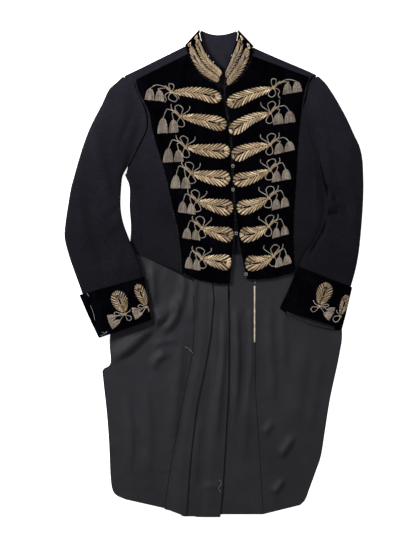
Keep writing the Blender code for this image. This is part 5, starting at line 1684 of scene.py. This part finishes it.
# The embroidery of the cuffs
# Two sprays on the upper side of each cuff: a short rounded leaf with a slit, a small bow and two tassels
# that swing to one side. The left cuff's outer one goes round the sleeve's edge.
CUFF_BARB_PITCH = 6.0
CUFF_BARB_SLANT = math.radians(48)
CUFF_TONES = (-0.1, 0.55)
CUFF_STRANDS = 11
CuffSpray = namedtuple("CuffSpray", "head bow leaf_width cords tassels")
CUFF_SHAPE = (
    (0.0, 0.34),
    (0.12, 0.58),
    (0.30, 0.86),
    (0.50, 1.0),
    (0.68, 0.99),
    (0.82, 0.86),
    (0.93, 0.56),
    (0.98, 0.30),
    (1.0, 0.0),
)
CUFF_SLIT = (0.36, 0.68)
CUFF_SPRAYS = {
    "cuff_spray_1_right": CuffSpray(
        (-211.0, -38),
        (-189.9, -86.9),
        39,
        (
            ((0, 0), (5, -3.5), (11, -5), (13.5, -9.5), (10, -14.3), (4.5, -12.5), (2.4, -7), (0, 0)),
            ((0, 0), (5.9, 3.5), (9, 5.5), (11.2, 9.4)),
            ((0, 0), (-12, 1.5), (-20, 4), (-23.5, 1), (-20, -3), (-9, -3.5), (0, 0)),
        ),
        (((-20, -6), (-39.2, -2.9), (-35.6, -19.5)), ((-11, -14), (-34.5, -20.6), (-28.1, -33.0))),
    ),
    "cuff_spray_2_right": CuffSpray(
        (-165, -23),
        (-143.5, -72),
        26,
        (
            ((0, 0), (-8.2, 2.5), (-14.4, 5.0), (-19, 1.2), (-12, -2.4), (0, 0)),
            ((0, 0), (3.4, -4.5), (4.6, -10.9)),
        ),
        (((-13.5, -7), (-33, -1.6), (-30.6, -14.2)), ((-9.4, -12.9), (-29.4, -15.4), (-24.6, -27))),
    ),
    "cuff_spray_1_left": CuffSpray(
        (246.9, -20.1),
        (227, -70.3),
        38,
        (
            ((0, 0), (-3.7, -2.0), (-13.0, -1.2), (-17.3, -7.0), (-11.5, -12.4), (-4.2, -7.0), (0, 0)),
            ((0, 0), (-7.4, 5), (-10.6, 8.5), (-12.4, 12.9)),
            ((0, 0), (8.7, 2.2), (17.6, 4.2), (21, 1.2), (13.6, -1.8), (0, 0)),
        ),
        (((17.3, -7.4), (35.3, -3.1), (30.8, -17.0)), ((10.9, -14.2), (29.6, -18.6), (21, -31.0))),
    ),
    "cuff_spray_2_left": CuffSpray(
        (287.5, -46),
        (272.7, -92.0),
        20,
        (
            ((0, 0), (-8.7, 0.6), (-14.4, -2.9), (-14.6, -9.5), (-8.7, -12.4), (-2.0, -7.0), (0, 0)),
            ((0, 0), (-3.7, 5), (-6.6, 8.4), (-8.2, 13.0)),
        ),
        (),
    ),
}
slit_lines = []
for node, spray in CUFF_SPRAYS.items():
    ground = cuff_ground(node.rsplit("_", 1)[1])
    draw = np.random.default_rng(len(node) + int(spray.leaf_width))
    between = (np.array(spray.head) + np.array(spray.bow)) / 2
    put, length = on_spine(spray.head, between, spray.bow, ground)
    half = spray.leaf_width / 2
    barbs = (CUFF_BARB_PITCH, CUFF_BARB_SLANT)
    lines = leaf_lines(length, half, CUFF_SHAPE, CUFF_SLIT, *barbs, CUFF_TONES, draw, put)
    slit_lines.append(slit_line(length, CUFF_SLIT, put))
    knot = np.array(spray.bow)
    for order, cord in enumerate(spray.cords):
        lines.append(cord_line(knot + np.array(cord), ground, 1.2 + 0.3 * order, CORD, CORD_TONE))
    for head, start, end in spray.tassels:
        lines += tassel_lines(knot + head, knot + start, knot + end, CUFF_STRANDS, ground, draw)
        hanging = (knot, knot + np.array(head) * 0.5 + (0, 1.5), knot + head)
        lines.append(cord_line(hanging, ground, 1.6, CORD, CORD_TONE))
    for aside in (-1.4, 0.0, 1.4):
        wrap = knot + np.array(((-2.4, 1.4), (0.0, 0.0), (2.4, -1.4))) + np.array([0.5, 0.9]) * aside
        lines.append(cord_line(wrap, ground, 2.4 - 0.3 * abs(aside), 0.95, 0.45))
    piece = wire_piece(node + "_work", lines, gilt)
    tell_frame(piece, node)
    padding = leaf_felt(node + "_felt", length, half, CUFF_SHAPE, CUFF_SLIT, felt, put)
    tell_frame(padding)

piece = wire_piece("cuff_slits", slit_lines, velvet)
tell_frame(piece)

# The embroidery of the collar
# Two feather bands to a side, worked along the stand from its front end to the side fold, with a ring of
# cord at the end of each and a fine metal cord along the free edge.
COLLAR_CELLS = 8
BAND_SHAPE = (
    (0.0, 0.82),
    (0.06, 0.96),
    (0.15, 1.0),
    (0.55, 1.0),
    (0.74, 0.90),
    (0.88, 0.80),
    (0.95, 0.62),
    (0.99, 0.34),
    (1.0, 0.0),
)
BAND_SLANT = math.radians(27)
BAND_PITCH = 7.0
COLLAR_SIDES = 5 * COLLAR_STEPS - COLLAR_TRIM
COLLAR_DEPTH = 46.0
RING_ROOM = 12.5
RING_HALF = 3.7
EDGE_CORD_RUN = 29.0
EDGE_STITCHES = {"right": (25.0, 39.0), "left": (32.0,)}


def on_collar(share_at, reverse):
    """A function that puts a band's own points on the outer face of one side of the collar, and its length.

    share_at gives how high on the stand the band's spine runs, from its front end to its head.
    """
    last = COLLAR_SIDES + 4
    end = len(collar_seam) - 1
    picked = slice(end, end - last, -1) if reverse else slice(0, last)
    grid = across(collar_seam[picked], collar_top[picked], COLLAR_CELLS)
    normal = np.cross(np.gradient(grid, axis=0), np.gradient(grid, axis=1))
    normal = normal / np.linalg.norm(normal, axis=2, keepdims=True)
    outer = normal * (1.0 if normal[5, 4, 2] > 0 else -1.0)
    middle = grid[:, 4]
    travelled = distances_along(middle)

    def put(u, w, height):
        u = np.asarray(u, float)
        at = np.interp(u, travelled, np.arange(len(travelled)))
        share = np.clip(np.interp(u / travelled[-1], *share_at) + np.asarray(w) / COLLAR_DEPTH, 0.0, 1.0)
        low_at = np.clip(np.floor(at).astype(int), 0, len(grid) - 2)
        along = (at - low_at)[:, None]
        low_share = np.clip(np.floor(share * COLLAR_CELLS).astype(int), 0, COLLAR_CELLS - 1)
        up = (share * COLLAR_CELLS - low_share)[:, None]

        def between(field):
            first = field[low_at, low_share] * (1 - up) + field[low_at, low_share + 1] * up
            second = field[low_at + 1, low_share] * (1 - up) + field[low_at + 1, low_share + 1] * up
            return first * (1 - along) + second * along

        return between(grid) + between(outer) * (COLLAR_STAND / 2 + 0.1 + np.asarray(height))[:, None]

    return put, travelled[-1]


silver, tree, shader = new_finish("pale_metal_cord", 0.42, 0.5, metallic=0.45)
place = coordinates(tree, "Object")
dulled = noise(tree, place, 260.0, 3.0)
coloured(tree, shader, tones(tree, dulled, (0.35, (0.34, 0.30, 0.23)), (0.6, (0.86, 0.80, 0.66))))
for side, reverse in (("right", False), ("left", True)):
    draw = np.random.default_rng(61 if reverse else 62)
    lines = []
    felts = []
    for name, share_at, half in (
        ("lower", ((0.0, 0.55, 1.0), (0.25, 0.25, 0.25)), 11.4),
        ("upper", ((0.0, 0.55, 1.0), (0.71, 0.71, 0.72)), 11.0),
    ):
        put, length = on_collar(share_at, reverse)
        length = length - RING_ROOM
        slit = (0.66, 0.84) if name == "upper" else (0.66, 0.70)
        lines += leaf_lines(length, half, BAND_SHAPE, slit, BAND_PITCH, BAND_SLANT, (-0.1, 0.55), draw, put)
        padding = f"collar_spray_{side}_{name}_felt"
        felts.append(leaf_felt(padding, length, half, BAND_SHAPE, slit, felt, put))
        ring = np.radians(np.linspace(0.0, 360.0, 25))
        place_u, place_w = length + 5.2 + RING_HALF * np.cos(ring), RING_HALF * np.sin(ring)
        lines.append(Line(put(place_u, place_w, np.full(25, 0.9)), 0.85, 0.85))
    put, length = on_collar(((0.0, 1.0), (0.975, 0.975)), reverse)
    edge = np.linspace(length - EDGE_CORD_RUN, length - 1.0, 24)
    edge_lines = [Line(put(edge, np.zeros(24), np.full(24, 0.7)), 0.85, 0.9)]
    for at in EDGE_STITCHES[side]:
        stitch = np.linspace(at - 1.2, at + 1.2, 5)
        edge_lines.append(Line(put(stitch, np.zeros(5), np.array([0.2, 0.7, 0.8, 0.7, 0.2])), 0.7, 0.9))
    edge_cord = wire_piece(f"collar_edge_cord_{side}", edge_lines, silver)
    tell_frame(edge_cord)
    piece = wire_piece(f"collar_spray_{side}_work", lines, gilt)
    tell_frame(piece, f"collar_spray_{side}")
    for padding in felts:
        tell_frame(padding)

# The hooks
# Bent wire rings at the front edges and the collar's end, each with two small feet that the thread holds.
# One is at the collar and four are down the front.
HOOK_WIRE = 0.5
HOOK_RING = 2.5
FOOT_WIRE = 0.35
FOOT_RING = 0.9
HOOKS = {
    "hook_collar": (11, 426, 15.3),
    "hook_1": (42, 231, None),
    "hook_2": (42, 180, None),
    "hook_3": (49, 86, None),
    "hook_4": (70, -2, None),
}


def arc(centre, radius, angles, level):
    """Points on a level arc."""
    x, y = centre[0] + radius * np.cos(angles), centre[1] + radius * np.sin(angles)
    return np.column_stack([x, y, np.full(len(angles), level)])


brass, tree, shader = new_finish("dull_hook_wire", 0.38, 0.5, metallic=0.9)
place = coordinates(tree, "Object")
worn = noise(tree, place, 900.0, 4.0)
coloured(tree, shader, tones(tree, worn, (0.3, (0.30, 0.27, 0.22)), (0.7, (0.62, 0.58, 0.50))))
roughen(tree, shader, (worn, 0.3, 0.0001))
for node, (x, y, level) in HOOKS.items():
    if level is None:
        level = float(velvet_top(np.array(x), np.array(y))) + 0.2 + HOOK_WIRE
    turning = np.radians(np.linspace(-250.0, 70.0, 29))
    lines = [Line(arc((x, y), HOOK_RING, turning, level), HOOK_WIRE, 0.5)]
    for hand in (-1, 1):
        foot = np.radians(np.linspace(90.0, 420.0, 19)) * hand
        spot = np.array([x + hand * 1.6, y + HOOK_RING + 0.6])
        if hand < 0:
            foot = np.pi - foot + np.pi
        lines.append(Line(arc(spot, FOOT_RING, foot, level), FOOT_WIRE, 0.5))
    piece = wire_piece(node + "_wire", lines, brass)
    tell_frame(piece, node)

# The piping
# A flat cream braid of three cords, sewn down the lining beside the left tail's seam.
PIPING_X = 88.6
PIPING_WIRES = 3
PIPING_WIRE = 0.62
PIPING_POINTS = 130
PIPING_TOP = -27.0
PIPING_BOTTOM = -148.0
BRAID_PITCH = 9.0
TWIST_PITCH = 0.0012
braid, tree, shader = new_finish("cream_braid", 0.75, 0.3, sheen=0.1)
along = attribute(tree, "along")
place = coordinates(tree, "Object")
dirt = noise(tree, place, 90.0, 5.0)
coloured(tree, shader, tones(tree, dirt, (0.30, (0.30, 0.26, 0.19)), (0.65, (0.66, 0.60, 0.48))))
twist = reckoned(tree, "MULTIPLY", along, 2.0 * math.pi / TWIST_PITCH)
roughen(tree, shader, (reckoned(tree, "SINE", twist), 0.5, 0.0002))
lines = []
for number in range(PIPING_WIRES):
    y = np.linspace(PIPING_TOP, PIPING_BOTTOM, PIPING_POINTS)
    turn = 2.0 * math.pi * (y / BRAID_PITCH + number / PIPING_WIRES)
    x = PIPING_X + 1.0 * np.sin(turn)
    ground = LINING_LEVEL + TWILL + tail_level(x, y, *TAIL_LEFT)
    lines.append(Line(np.column_stack([x, y, ground + 0.75 + 0.35 * np.sin(2.0 * turn)]), PIPING_WIRE, 0.5))
piece = wire_piece("piping_braid", lines, braid)
tell_frame(piece, "piping")

# Loose threads
# Bits of pale sewing thread and wool that have worked loose on the tails and cuffs, and the frayed pile
# along the plastron's edges.
LOOSE_THREADS = (
    ((-62.1, -158.5), (-56.0, -160.0), (-50.0, -165.0), (-44.6, -171.4)),
    ((12.0, -444.0), (17.0, -452.0), (11.0, -462.0), (15.0, -471.0)),
    ((80.0, -3.0), (84.0, -12.0), (92.0, -14.0), (88.0, -22.0)),
    ((76.0, -6.0), (83.0, -8.0), (90.0, -18.0)),
)
CUFF_THREADS = (
    ((-264.8, -67.9), (-259.0, -84.0), (-255.3, -100.3)),
    ((-273.0, -42.0), (-270.0, -46.0), (-268.2, -49.4)),
    ((-240.4, -126.1), (-232.0, -128.0), (-229.0, -124.0), (-236.0, -131.0), (-243.6, -133.7)),
)
TAILS_MEET_X = 30.0
THREAD = 0.34
FRAY = 0.26
FRAY_STEP = 3.4
FRAY_REACH = 3.6


def lining_top(x, y):
    """The upper face of the tail linings, near enough for a thread to lie on."""
    right = tail_level(x, y, *TAIL_RIGHT) + 2.0 * PLEAT_LEVEL
    left = tail_level(x, y, *TAIL_LEFT)
    return LINING_LEVEL + TWILL + np.where(x < TAILS_MEET_X, right, left)


thread, tree, shader = new_finish("loose_thread", 0.8, 0.2)
place = coordinates(tree, "Object")
dust = noise(tree, place, 200.0, 2.0)
coloured(tree, shader, tones(tree, dust, (0.3, (0.10, 0.10, 0.10)), (0.7, (0.32, 0.31, 0.30))))
lines = [cord_line(points, lining_top, 0.6, THREAD, 0.5) for points in LOOSE_THREADS]
lines += [cord_line(points, cuff_ground("right"), 0.6, THREAD, 0.5) for points in CUFF_THREADS]
piece = wire_piece("loose_threads", lines, thread, 6)
tell_frame(piece)

pile_end, tree, shader = new_finish("frayed_pile", 0.9, 0.1)
place = coordinates(tree, "Object")
fade_and_painted_sheen = noise(tree, place, 120.0, 2.0)
coloured(tree, shader, tones(tree, fade_and_painted_sheen, (0.4, (0.006, 0.006, 0.008)), (0.7, (0.06, 0.055, 0.055))))
draw = np.random.default_rng(5)
lines = []
for rows in (FRONT_RIGHT, FRONT_LEFT):
    chest = front_plan(rows)[0][FRONT_STEPS:]
    side_edge = (chest[:, -1], chest[:, -3])
    hem_edge = (chest[-1, ::-1], chest[-4, ::-1])
    front_edge = (chest[:, 0], chest[:, 2])
    for edge, inside in (side_edge, hem_edge, front_edge):
        travelled = distances_along(edge)
        for at in np.arange(2.0, travelled[-1], FRAY_STEP):
            at = at + draw.uniform(-1.5, 1.5)
            spot = np.array([np.interp(at, travelled, edge[:, k]) for k in range(2)])
            out = spot - np.array([np.interp(at, travelled, inside[:, k]) for k in range(2)])
            out = out / np.linalg.norm(out)
            swing = np.array([-out[1], out[0]]) * draw.uniform(-1.0, 1.0)
            reach = FRAY_REACH * draw.uniform(0.25, 1.0)
            plan = np.array([spot - 1.2 * out, spot + 0.4 * reach * out, spot + reach * (out + 0.8 * swing)])
            height = velvet_top(plan[:, 0], plan[:, 1]) + np.array([0.1, 0.0, -1.6])
            lines.append(Line(np.column_stack([plan, height]), FRAY, 0.5))
piece = wire_piece("frayed_edges", lines, pile_end, 5)
tell_frame(piece)
